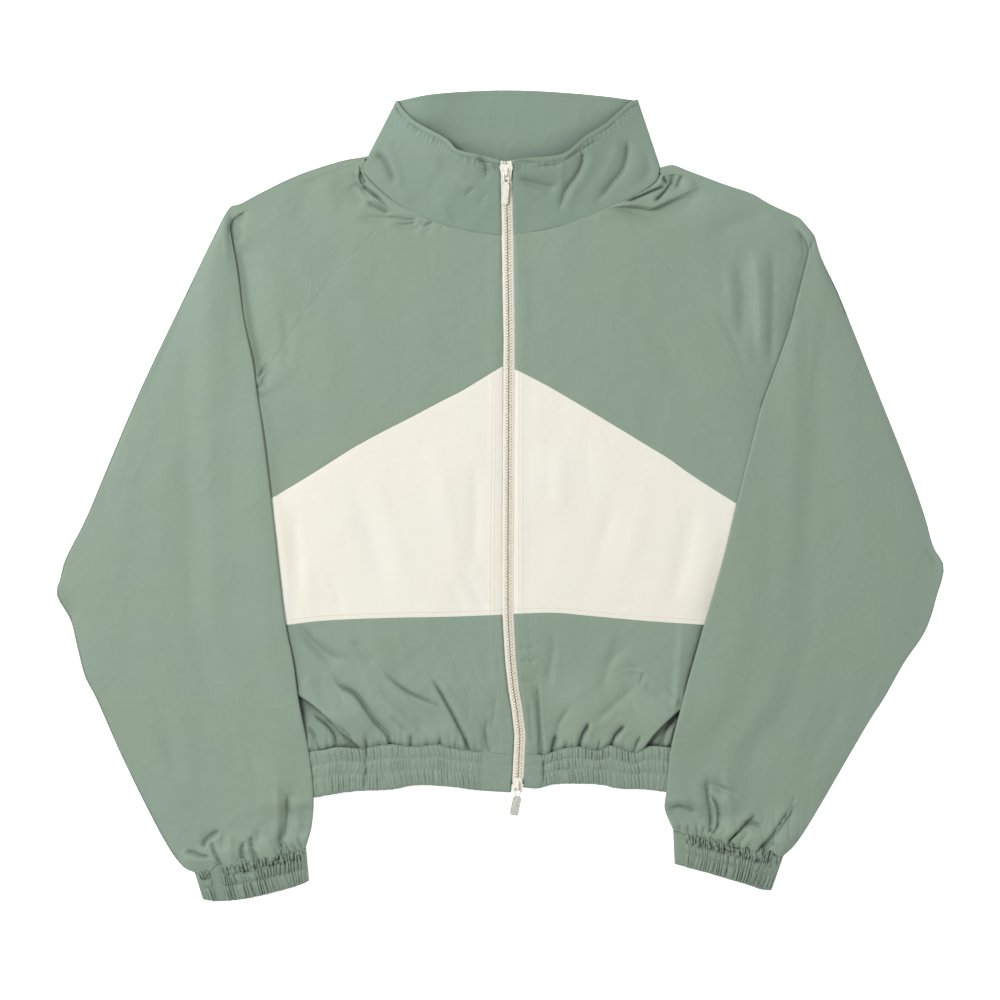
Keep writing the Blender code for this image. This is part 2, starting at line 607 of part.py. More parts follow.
def make_zip():
    top, bottom = TOP_LEFT[-1].y - 0.5, HEM_FOOT["right"][-1].y + 2
    zip_ribbon("zip_tape_left", top, bottom, (-TAPE_REACH, -TAPE_SPLIT), TAPE_DROP, TAPE_WALL,
               TAPE_CREAM)
    zip_ribbon("zip_tape_right", top, bottom, (TAPE_SPLIT, TAPE_REACH), TAPE_DROP, TAPE_WALL,
               TAPE_CREAM)
    zip_ribbon("zip_chain", top - 8, bottom + 2, (-CHAIN_HALF, CHAIN_HALF), CHAIN_DROP, CHAIN_WALL,
               TAPE_CREAM)


def prism(outline, low, high):
    """An extruded outline, in mm."""
    bm = bmesh.new()
    face = bm.faces.new([bm.verts.new((x * MM, y * MM, low * MM)) for x, y in outline])
    raised = bmesh.ops.extrude_face_region(bm, geom=[face])
    top = [v for v in raised["geom"] if isinstance(v, bmesh.types.BMVert)]
    bmesh.ops.translate(bm, verts=top, vec=(0, 0, (high - low) * MM))
    bmesh.ops.recalc_face_normals(bm, faces=bm.faces)
    return bm


def block(x_half, y_low, y_high, low, high):
    return prism([(-x_half, y_low), (x_half, y_low), (x_half, y_high), (-x_half, y_high)], low, high)


def mesh_object(name, bm, colour):
    mesh = bpy.data.meshes.new(name)
    bm.to_mesh(mesh)
    bm.free()
    return add_object(name, mesh, colour, roughness=0.35, metallic=0.9)


def combine(target, tool, operation):
    """Joins or cuts with a helper that the build leaves out."""
    tool.hide_render = True
    tool.display_type = "WIRE"
    tool.parent = target.parent
    change = target.modifiers.new(operation.title(), "BOOLEAN")
    change.operation = operation
    change.object = tool
    return target


def zip_slope(y, reach=6.0):
    """The zip's tilt about X, from a little above to a little below a place."""
    return atan2(zip_z(y + reach) - zip_z(y - reach), 2 * reach)


def slider_outline(s):
    """A shield that is wide where the two tapes part."""
    half, wide, narrow = s.length / 2, s.wide / 2, s.narrow / 2
    shape = [(-narrow, -half), (narrow, -half), (wide * 0.86, 0), (wide, half * 0.45),
             (wide * 0.8, half), (wide * 0.25, half * 0.86), (-wide * 0.25, half * 0.86),
             (-wide * 0.8, half), (-wide, half * 0.45), (-wide * 0.86, 0)]
    return [(x * s.facing, y * s.facing) for x, y in shape]


def place(made, s, up=0.0, back=0.0):
    """Sets a piece on the zip at its slider, tilted as the zip is."""
    tilt = Matrix.Rotation(zip_slope(s.y), 4, "X")
    middle = Vector((zip_x(s.y), s.y, zip_z(s.y)))
    made.matrix_world = Matrix.Translation(middle * MM) @ tilt @ Matrix.Translation(
        Vector((0, -back, up)) * MM)
    return made


def make_slider(s):
    body = mesh_object(f"slider_{s.name}", prism(slider_outline(s), PLATE_LOW, PLATE_HIGH), METAL)
    place(body, s)
    leg_long = s.length * 0.3
    for way in (-1, 1):
        outline = [(way * LEG_IN, -leg_long), (way * LEG_OUT, -leg_long),
                   (way * LEG_OUT, leg_long), (way * LEG_IN, leg_long)]
        leg = mesh_object(f"slider_{s.name}_leg_tool_{'left' if way < 0 else 'right'}",
                          prism(outline, LEG_LOW, PLATE_LOW + 0.5), METAL)
        combine(body, place(leg, s), "UNION")
    half = ARCH_LONG / 2
    top = PLATE_HIGH + ARCH_HIGH
    side_view = [(-half, PLATE_HIGH - 0.6), (half, PLATE_HIGH - 0.6), (half, top - 1.2),
                 (half - 1.2, top), (1.2 - half, top), (-half, top - 1.2)]
    arch = mesh_object(f"slider_{s.name}_arch_tool", prism(side_view, -ARCH_WIDE / 2, ARCH_WIDE / 2),
                       METAL)
    stand = Matrix(((0, 0, 1, 0), (1, 0, 0, 0), (0, 1, 0, 0), (0, 0, 0, 1)))
    arch.data.transform(stand)
    combine(body, place(arch, s), "UNION")
    hole = mesh_object(f"slider_{s.name}_hole_tool",
                       block(ARCH_WIDE, -ARCH_HOLE_LONG / 2, ARCH_HOLE_LONG / 2, PLATE_HIGH,
                             PLATE_HIGH + ARCH_HOLE_HIGH), METAL)
    combine(body, place(hole, s), "DIFFERENCE")


def tab_outline(s):
    """A tab with a round end, leaning to one side of the link."""
    half = s.width / 2
    straight = s.reach - half
    points = [(-half * 0.55, 0.8), (half * 0.55, 0.8), (half, -3.0), (half, -straight)]
    steps = 8
    points += [(half * cos(pi * i / steps), -straight - half * sin(pi * i / steps))
               for i in range(1, steps)]
    points += [(-half, -straight), (-half, -3.0)]
    lean = Matrix.Rotation(s.lean * pi / 180, 2)
    turned = [lean @ Vector(p) for p in points]
    return [(p.x, p.y - LINK_LONG) for p in turned]


def make_pull(s):
    """A link round the arch and a tab in one plate. Its origin is on the hinge's axis."""
    wall = PULL_WALL / 2
    pull = mesh_object(f"pull_{s.name}",
                       block(LINK_WIDE / 2, -LINK_LONG, LINK_BAR / 2, -wall, wall), METAL)
    hole = mesh_object(f"pull_{s.name}_hole_tool",
                       block(LINK_WIDE / 2 - LINK_BAR, LINK_BAR * 1.1 - LINK_LONG, -LINK_BAR / 2,
                             -2 * wall, 2 * wall), METAL)
    tab = mesh_object(f"pull_{s.name}_tab_tool", prism(tab_outline(s), -wall, wall), METAL)
    drop = Matrix.Rotation(s.rest_drop * pi / 180, 4, "X")
    for piece in (pull, hole, tab):
        place(piece, s, PLATE_HIGH + PIN_UP, PIN_BACK)
        piece.matrix_world = piece.matrix_world @ drop
    combine(pull, hole, "DIFFERENCE")
    combine(pull, tab, "UNION")


def make_stops():
    for side, out in (("left", -STOP_OUT), ("right", STOP_OUT)):
        size = STOP_SIZE
        low = SEAM_GAP + TAPE_WALL / 2 - TAPE_DROP
        stop = mesh_object(f"zip_stop_{side}",
                           block(size.x / 2, -size.y / 2, size.y / 2, low, low + size.z), METAL)
        tilt = Matrix.Rotation(zip_slope(STOP_Y, 1.0), 4, "X")
        middle = Vector((zip_x(STOP_Y) + out, STOP_Y, zip_z(STOP_Y)))
        stop.matrix_world = Matrix.Translation(middle * MM) @ tilt


for body_half in ("left", "right"):
    make_fronts(body_half)
    make_sleeve(body_half)
    make_cuff(body_half)
make_back()
make_collar()
make_zip()
for slider in SLIDERS:
    make_slider(slider)
    make_pull(slider)
make_stops()
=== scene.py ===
import bmesh
import bpy
import numpy as np
from math import atan2, cos, pi, radians, sin
from mathutils import Matrix, Vector


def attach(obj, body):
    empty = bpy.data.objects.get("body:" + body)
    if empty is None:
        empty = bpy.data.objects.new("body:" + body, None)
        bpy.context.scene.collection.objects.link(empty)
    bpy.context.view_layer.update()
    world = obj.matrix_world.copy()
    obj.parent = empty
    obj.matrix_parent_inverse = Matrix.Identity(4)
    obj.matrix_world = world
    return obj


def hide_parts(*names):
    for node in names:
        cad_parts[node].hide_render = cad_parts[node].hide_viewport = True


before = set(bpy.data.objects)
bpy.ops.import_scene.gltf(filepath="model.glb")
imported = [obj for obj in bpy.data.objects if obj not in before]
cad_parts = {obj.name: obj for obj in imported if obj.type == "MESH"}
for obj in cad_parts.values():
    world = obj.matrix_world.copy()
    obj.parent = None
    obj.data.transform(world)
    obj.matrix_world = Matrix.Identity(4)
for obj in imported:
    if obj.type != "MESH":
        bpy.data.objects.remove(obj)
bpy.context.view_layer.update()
mm = 0.001
outward = {"left": -1.0, "right": 1.0}
print("frame loaded")


def newObject(name, verts, faces):
    mesh = bpy.data.meshes.new(name)
    mesh.from_pydata(verts, [], faces)
    made = bpy.data.objects.new(name, mesh)
    bpy.context.scene.collection.objects.link(made)
    return made


def newPaint(name, look):
    paint = bpy.data.materials.new(name)
    paint.use_nodes = True
    shader = paint.node_tree.nodes["Principled BSDF"]
    for socket, value in (("Roughness", look["roughness"]), ("Metallic", look.get("metallic", 0.0)),
                          ("Specular IOR Level", look.get("specular", 0.5)),
                          ("Sheen Weight", look.get("sheen", 0.0)), ("Sheen Roughness", 0.45)):
        shader.inputs[socket].default_value = value
    return paint, shader


# the studio is in metres; for the jacket x runs right, y from the hem up to the collar, in mm
studio = {
    "cameraHeight": 2.6, "lens": 93.2, "sensor": 36.0, "aim": (0.0, -0.005),
    "floorColour": (0.95, 0.95, 0.95), "floorGlow": 0.7, "floorHalf": 6.0, "floorZ": -0.0006,
    "sky": (1.0, 1.0, 1.0), "skyStrength": 0.41,
    "key": {"at": (-2.2, 1.25, 3.3), "size": 1.7, "watts": 150.0},
    "fill": {"at": (2.6, -1.0, 3.6), "size": 3.0, "watts": 28.0},
}


def makeStudio():
    scene = bpy.context.scene
    camera = bpy.data.cameras.new("camera")
    camera.lens, camera.sensor_width = studio["lens"], studio["sensor"]
    eye = bpy.data.objects.new("camera", camera)
    eye.location = (*studio["aim"], studio["cameraHeight"])
    scene.collection.objects.link(eye)
    scene.camera = eye
    scene.view_settings.view_transform = "Standard"
    world = bpy.data.worlds.new("studio")
    world.use_nodes = True
    sky = world.node_tree.nodes["Background"]
    sky.inputs["Color"].default_value = (*studio["sky"], 1.0)
    sky.inputs["Strength"].default_value = studio["skyStrength"]
    scene.world = world
    for name in ("key", "fill"):
        lampData = bpy.data.lights.new(name, "AREA")
        lampData.size, lampData.energy = studio[name]["size"], studio[name]["watts"]
        lamp = bpy.data.objects.new(name, lampData)
        lamp.location = studio[name]["at"]
        lamp.rotation_mode = "QUATERNION"
        lamp.rotation_quaternion = (-lamp.location).to_track_quat("-Z", "Y")
        scene.collection.objects.link(lamp)
    half, z = studio["floorHalf"], studio["floorZ"]
    floor = newObject("floor", [(-half, -half, z), (half, -half, z), (half, half, z), (-half, half, z)],
                      [(0, 1, 2, 3)])
    paper, shader = newPaint("paper", {"roughness": 0.9})
    shader.inputs["Base Color"].default_value = (*studio["floorColour"], 1.0)
    shader.inputs["Emission Color"].default_value = (1.0, 1.0, 1.0, 1.0)
    shader.inputs["Emission Strength"].default_value = studio["floorGlow"]
    floor.data.materials.append(paper)


makeStudio()
print("studio set")

# Where the layers of cloth lie
lay = {
    "flat": 0.6, "pitch": 1.8, "side": 2.1, "frontRise": 3.1, "frontRiseWidth": 40.0,
    "drapeStart": 44.0, "drapeWidth": 30.0, "belowHem": -325.0, "belowHemWidth": 20.0,
    "shoulderFold": 3.0, "bulge": 2.2, "bandLift": 0.2,
    "collarFold": 4.4, "collarRise": 14.8, "collarBack": 1.0,
    "sideY": (45, -65, -136, -205, -257, -302),
    "sideLeft": (-274, -271, -269, -250, -210, -206),
    "sideRight": (276, 272, 270, 252, 212, 207),
    "zipY": (333, 263, 155, -45, -118, -165, -195, -215, -240, -275, -300),
    "zipX": (6.0, 7.5, 9.0, 8.0, 8.0, 10.5, 13.5, 17.0, 20.0, 18.5, 17.0),
    # fullness over the hem band: x, y, reach in x, reach in y, height
    "ridges": ((-165, -226, 34, 20, 5.0), (-95, -214, 48, 26, 3.5), (-35, -225, 26, 20, 1.5),
               (88, -216, 42, 24, 3.2), (158, -222, 34, 24, 5.0)),
    "frontEdge": 6.2, "neckY": 260.7, "collarTopY": 333.5,
}


def smooth(t):
    t = np.clip(t, 0.0, 1.0)
    return t * t * (3.0 - 2.0 * t)


def down(y, rows, values):
    # a column of a table whose rows run down in y
    return np.interp(-np.asarray(y, float), -np.array(rows, float), values)


def zipX(y):
    return down(y, lay["zipY"], lay["zipX"])


def sideX(y, x):
    return np.where(np.asarray(x) < 0, down(y, lay["sideY"], lay["sideLeft"]),
                    down(y, lay["sideY"], lay["sideRight"]))


def insideBody(x, y):
    return np.abs(sideX(y, x)) - np.abs(x)


def frontZ(x, y):
    z = lay["side"] + lay["frontRise"] * smooth(insideBody(x, y) / lay["frontRiseWidth"])
    for atX, atY, reachX, reachY, height in lay["ridges"]:
        z = z + height * np.exp(-((x - atX) / reachX) ** 2 - ((y - atY) / reachY) ** 2)
    return z


def underZ(x, y):
    # the sleeve's lower layer: on the surface, or over the body
    over = smooth((insideBody(x, y) + lay["drapeStart"]) / lay["drapeWidth"])
    over = over * smooth((y - lay["belowHem"]) / lay["belowHemWidth"])
    return lay["flat"] + over * (frontZ(x, y) + lay["pitch"] - lay["flat"])


def leanShare(t):
    return 0.6 * t + 0.4 * t * t


def zipZ(y):
    y = np.asarray(y, float)
    up = np.clip((y - lay["neckY"]) / (lay["collarTopY"] - lay["neckY"]), 0, 1)
    below = np.minimum(y, lay["neckY"])
    return frontZ(zipX(below), below) + lay["collarRise"] * leanShare(up)


def lengths(points):
    # how far along a row of points each one lies
    return np.concatenate([[0.0], np.cumsum(np.linalg.norm(np.diff(points, axis=0), axis=1))])


def atLength(path, s):
    points, length = path
    return np.stack([np.interp(s, length, points[:, k]) for k in range(points.shape[1])], axis=-1)


def evenly(points, count):
    s = lengths(points)
    return atLength((points, s), np.linspace(0, s[-1], count))


def through(points, count):
    # a smooth curve through the points, resampled evenly by length
    p = np.array(points, float)
    if len(p) == 2:
        return p[0] + (p[1] - p[0]) * np.linspace(0, 1, count)[:, None]
    step = np.maximum(np.linalg.norm(np.diff(p, axis=0), axis=1), 1e-6) ** 0.5
    c = np.concatenate([[0.0], np.cumsum(step)])
    slope = np.gradient(p, c, axis=0)
    u = np.linspace(0, c[-1], 24 * len(p))
    i = np.clip(np.searchsorted(c, u, side="right") - 1, 0, len(p) - 2)
    h = (c[i + 1] - c[i])[:, None]
    t = ((u - c[i]) / (c[i + 1] - c[i]))[:, None]
    q = ((2 * t ** 3 - 3 * t ** 2 + 1) * p[i] + (t ** 3 - 2 * t ** 2 + t) * h * slope[i]
         + (3 * t ** 2 - 2 * t ** 3) * p[i + 1] + (t ** 3 - t ** 2) * h * slope[i + 1])
    return evenly(q, count)


def pathOf(points):
    q = through(points, 600)
    return q, lengths(q)


def lengthAt(path, point):
    q, length = path
    return length[np.argmin(np.hypot(q[:, 0] - point[0], q[:, 1] - point[1]))]


def patch(left, right, top, bottom):
    # plan points stretched between four edges: x and y grids
    t = np.linspace(0, 1, len(left))[:, None, None]
    s = np.linspace(0, 1, len(top))[None, :, None]
    p = ((1 - t) * top[None] + t * bottom[None] + (1 - s) * left[:, None] + s * right[:, None]
         - (1 - s) * (1 - t) * top[0] - s * (1 - t) * top[-1]
         - (1 - s) * t * bottom[0] - s * t * bottom[-1])
    return p[..., 0], p[..., 1]


def cloud(x, y, size, seed):
    # soft random height from -1 to 1
    lattice = np.random.default_rng(seed).random((97, 97)) * 2 - 1
    u, v = np.asarray(x, float) / size + 40.3, np.asarray(y, float) / size + 40.7
    i, j = np.floor(u).astype(int), np.floor(v).astype(int)
    a, b = smooth(u - i), smooth(v - j)
    i, j = i % 96, j % 96
    return ((lattice[i, j] * (1 - a) + lattice[i + 1, j] * a) * (1 - b)
            + (lattice[i, j + 1] * (1 - a) + lattice[i + 1, j + 1] * a) * b)


def fromPath(x, y, path):
    # distance to a path, whether on its left, and how far along it
    best = np.full(np.shape(x), 1e9)
    side, gone = np.zeros(np.shape(x)), np.zeros(np.shape(x))
    start = 0.0
    for a, b in zip(path, path[1:]):
        span = max(float(np.hypot(*(b - a))), 1e-9)
        d = (b - a) / span
        t = np.clip((x - a[0]) * d[0] + (y - a[1]) * d[1], 0, span)
        off = np.hypot(x - a[0] - t * d[0], y - a[1] - t * d[1])
        closer = off < best
        best = np.where(closer, off, best)
        side = np.where(closer, d[0] * (y - a[1]) - d[1] * (x - a[0]), side)
        gone = np.where(closer, start + t, gone)
        start += span
    return best, side > 0, gone / start


def relief(folds, x, y):
    # Heights of the folds in a list. A row of three sizes is a crease, with its own width on the left
    # and the right of the way it runs: a ridge stays low and round, a narrow hollow is deep with a
    # sharp bottom. A row of four is a ledge that stands over its neighbour: high on the left, low on
    # the right.
    z = np.zeros(np.shape(x))
    for *sizes, fadeIn, fadeOut, path in folds:
        p = np.array(path, float)
        ledge = len(sizes) == 4
        reach = 2.6 * max(sizes[1::2]) if ledge else 2.8 * max(sizes[1:])
        near = ((x > p[:, 0].min() - reach) & (x < p[:, 0].max() + reach)
                & (y > p[:, 1].min() - reach) & (y < p[:, 1].max() + reach))
        off, left, gone = fromPath(x[near], y[near], through(p, 5 * len(p)) if len(p) > 2 else p)
        if ledge:
            rise, wideUp, drop, wideDown = sizes
            step = smooth((np.where(left, off, -off) + 1.0) / 2.0)
            height = (step * rise * np.exp(-(off / wideUp) ** 2)
                      - (1 - step) * drop * np.exp(-(off / wideDown) ** 2))
        else:
            height, wideLeft, wideRight = sizes
            narrow = height < 0 and min(wideLeft, wideRight) < 4
            height *= 1.25 if narrow else 1.0 if height < 0 else 0.4 if max(sizes[1:]) < 4 else 0.6
            wide = np.where(left, wideLeft, wideRight)
            height = height * np.exp(-(off / wide) ** (1.15 if narrow else 2.0))
        z[near] += height * smooth(gone / max(fadeIn, 1e-3)) * smooth((1 - gone) / max(fadeOut, 1e-3))
    return z


def crumple(x, y, seed):
    # fine creases of pressed and folded nylon: ridges where soft noise crosses zero
    z = np.zeros(np.shape(x))
    for k, (size, height) in enumerate(((58, 0.40), (27, 0.16), (12, 0.07))):
        turn = 0.9 + 1.3 * k
        u, v = x * cos(turn) + y * sin(turn), y * cos(turn) - x * sin(turn)
        z += height * ((1 - np.abs(cloud(u, v * 0.62, size, seed + k))) ** 3 - 0.35)
    return z


def creased(across, along, size, seed):
    # thin wandering creases, longer along than across, some stretches faint
    n = cloud(across, along * 0.3, size, seed) + 0.35 * cloud(across, along * 0.5, size * 0.5, seed + 1)
    strong = np.clip(0.35 + cloud(across, along * 0.5, size * 2.2, seed + 2), 0, 1)
    return -np.exp(-np.abs(n) / 0.11) * strong


# each cloth piece's own points, for its rows of stitches
grids = {}


def edged(points, near=0.12):
    # a narrow strip along the first and the last row keeps the corner crisp
    for end in (0, -1):
        a, b = points[end], points[1 if end == 0 else -2]
        share = min(near / max(float(np.linalg.norm(b - a, axis=1).mean()), 1e-6), 0.5)
        strip = (a + (b - a) * share)[None]
        points = np.concatenate([points[:1], strip, points[1:]] if end == 0
                                else [points[:-1], strip, points[-1:]])
    return points


def finishPiece(made, paint, node=None, body="jacket"):
    made.data.materials.append(paints[paint])
    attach(made, body)
    if node:
        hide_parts(node)


def layCloth(name, points, thick, paint, slotName, ring=False, **cut):
    # a grid of points as cloth with a thickness, which stands for the node of its name
    grids[name] = points
    points = edged(points)
    if not ring:
        points = edged(points.transpose(1, 0, 2)).transpose(1, 0, 2)
    rows, cols = points.shape[:2]
    index = np.arange(rows * cols).reshape(rows, cols)
    if ring:
        index = np.concatenate([index, index[:, :1]], axis=1)
    quads = np.stack([index[:-1, :-1], index[1:, :-1], index[1:, 1:], index[:-1, 1:]], axis=-1)
    made = newObject(name + "_cloth", (points.reshape(-1, 3) * mm).tolist(), quads.reshape(-1, 4).tolist())
    made.data.shade_smooth()
    wall = made.modifiers.new("wall", "SOLIDIFY")
    wall.thickness, wall.offset, wall.use_quality_normals = thick * mm, 0.0, True
    finishPiece(made, paint, name)


def addNode(paint, kind, inputs, **choices):
    # an input is given a number, a colour or the socket that drives it
    made = paint.node_tree.nodes.new("ShaderNode" + kind)
    for name, value in choices.items():
        setattr(made, name, value)
    for name, value in inputs.items():
        if isinstance(value, bpy.types.NodeSocket):
            paint.node_tree.links.new(value, made.inputs[name])
        else:
            made.inputs[name].default_value = (*value, 1.0) if isinstance(value, tuple) else value
    return made.outputs


def mixColours(paint, factor, a, b):
    return addNode(paint, "Mix", {"Factor": factor, 6: a, 7: b}, data_type="RGBA")[2]


def spread(paint, value, low, high):
    return addNode(paint, "MapRange", {"Value": value, "From Min": low, "From Max": high})["Result"]


def noise(paint, place, scale, detail, low, high):
    made = addNode(paint, "TexNoise", {"Vector": place, "Scale": scale, "Detail": detail})
    return spread(paint, made["Fac"], low, high)


def weave(paint, place, thread):
    # plain weave: two sets of threads crossing
    across, along = (addNode(paint, "TexWave", {"Vector": place, "Scale": 0.31416 / thread,
                                                "Distortion": 0.6, "Detail": 1.0},
                             bands_direction=way)["Fac"] for way in ("X", "Y"))
    return addNode(paint, "Math", {0: across, 1: along}, operation="MAXIMUM")[0]


def coat(paint, shader, colour, *heights):
    # colour, and heights in layers: what drives it, its strength and its distance
    paint.node_tree.links.new(colour, shader.inputs["Base Color"])
    below = {}
    for height, strength, distance in heights:
        below = {"Normal": addNode(paint, "Bump", {"Height": height, "Strength": strength,
                                                   "Distance": distance, **below})["Normal"]}
    paint.node_tree.links.new(below["Normal"], shader.inputs["Normal"])
    return paint


def clothPaint(name, look):
    paint, shader = newPaint(name, look)
    place = addNode(paint, "TexCoord", {})["Object"]
    broad = noise(paint, place, look["broadScale"], 2.0, 0.35, 0.65)
    tone = mixColours(paint, broad, look["cool"], look["warm"])
    specks = noise(paint, place, look["speckScale"], 3.0, 0.3, 0.7)
    tone = mixColours(paint, look["speckShare"], tone, mixColours(paint, specks, look["deep"], tone))
    # painted shade: where ambient occlusion finds folds, hollows and seams (from other pieces too, for a
    # shaded look), the colour is mixed towards a dark shade colour, wholly at the closed level
    occlusionShade = addNode(paint, "AmbientOcclusion", {"Distance": look["reach"]}, samples=6,
                     only_local=not look.get("shaded", False))["AO"]
    tone = mixColours(paint, spread(paint, occlusionShade, look["closed"], 0.93), look["paintedShade"], tone)
    crushed = addNode(paint, "TexNoise", {"Vector": place, "Scale": look["crumpleScale"], "Detail": 3.0,
                                          "Offset": 0.9, "Distortion": 0.6},
                      noise_type="RIDGED_MULTIFRACTAL")["Fac"]
    return coat(paint, shader, tone, (crushed, look["crumple"], 0.0005),
                (weave(paint, place, look["thread"]), look["weave"], 0.00006))


def hardPaint(name, look):
    paint, shader = newPaint(name, look)
    place = addNode(paint, "TexCoord", {})["Object"]
    worn = noise(paint, place, look["wearScale"], 4.0, 0.35, 0.7)
    fine = noise(paint, place, look["grainScale"], 3.0, 0.3, 0.7)
    return coat(paint, shader, mixColours(paint, worn, look["dark"], look["light"]),
                (fine, look["grain"], 0.00005))


# every cloth look paints shade: the shade colour painted into folds and hollows, how far the occlusion looks
# (reach), and the occlusion at which the colour is all shade (closed)
sage = {"cool": (0.214, 0.286, 0.227), "warm": (0.221, 0.287, 0.215), "deep": (0.186, 0.253, 0.192),
        "roughness": 0.58, "specular": 0.4, "sheen": 0.10, "thread": 0.0004, "weave": 0.35,
        "broadScale": 11.0, "speckScale": 220.0, "speckShare": 0.22, "crumpleScale": 34.0,
        "crumple": 0.5, "paintedShade": (0.082, 0.122, 0.094), "reach": 0.009, "closed": 0.24}
# bands: a little darker than the sage, with painted shade from other pieces too
sageBand = dict(sage, cool=(0.209, 0.277, 0.220), warm=(0.216, 0.278, 0.210), crumpleScale=120.0,
                closed=0.25, shaded=True)
cream = dict(sage, cool=(0.735, 0.720, 0.640), warm=(0.745, 0.722, 0.628), deep=(0.69, 0.665, 0.57),
             sheen=0.05, crumple=0.25, paintedShade=(0.36, 0.33, 0.27))
clothLooks = {
    "sage_nylon": sage,
    # collar: a darker copy of the sage with deeper, farther-reaching painted shade; the darker colour is
    # painted shade too, for the shade inside the collar
    "collar_nylon_painted_shade": dict(sage, cool=(0.188, 0.266, 0.212), warm=(0.199, 0.270, 0.203), reach=0.032,
                         paintedShade=(0.060, 0.094, 0.072)),
    "sage_band": sageBand,
    # cuffs: darker than the bands, with darker and fuller painted shade between the ribs; the darker colour
    # is painted shade too
    "cuff_band_painted_shade": dict(sageBand, cool=(0.188, 0.252, 0.200), warm=(0.195, 0.254, 0.190), closed=0.42,
                      paintedShade=(0.030, 0.048, 0.036)),
    # lower fronts: painted shade that reaches farther, comes from other pieces too and is darker, for the
    # hollows over the hem band
    "lower_nylon_painted_shade": dict(sage, reach=0.028, shaded=True, closed=0.44, paintedShade=(0.048, 0.072, 0.056)),
    "cream_nylon": cream,
    "zip_tape": dict(cream, cool=(0.73, 0.70, 0.61), warm=(0.74, 0.705, 0.605), deep=(0.63, 0.58, 0.48),
                     thread=0.0005, weave=0.6, paintedShade=(0.34, 0.29, 0.22), closed=0.2),
}
metal = {"dark": (0.80, 0.77, 0.68), "light": (0.93, 0.91, 0.83), "roughness": 0.26, "metallic": 0.15,
         "wearScale": 400.0, "grainScale": 2500.0, "grain": 0.2}
thread = {"dark": (0.20, 0.29, 0.23), "light": (0.26, 0.36, 0.29), "roughness": 0.7,
          "wearScale": 900.0, "grainScale": 3000.0, "grain": 0.4}
hardLooks = {
    "zip_teeth": {"dark": (0.74, 0.69, 0.58), "light": (0.88, 0.84, 0.74), "roughness": 0.38,
                  "wearScale": 300.0, "grainScale": 1500.0, "grain": 0.15},
    "zip_metal": metal,
    # the bottom pull's metal: a darker copy of the zip metal, painted shade
    "zip_metal_painted_shade": dict(metal, dark=(0.55, 0.55, 0.48), light=(0.76, 0.75, 0.66), metallic=0.3),
    "sage_thread": thread,
    "cream_thread": dict(thread, dark=(0.50, 0.45, 0.36), light=(0.63, 0.58, 0.48)),
}
paints = {name: clothPaint(name, look) for name, look in clothLooks.items()}
paints.update({name: hardPaint(name, look) for name, look in hardLooks.items()})
print("finishes made")

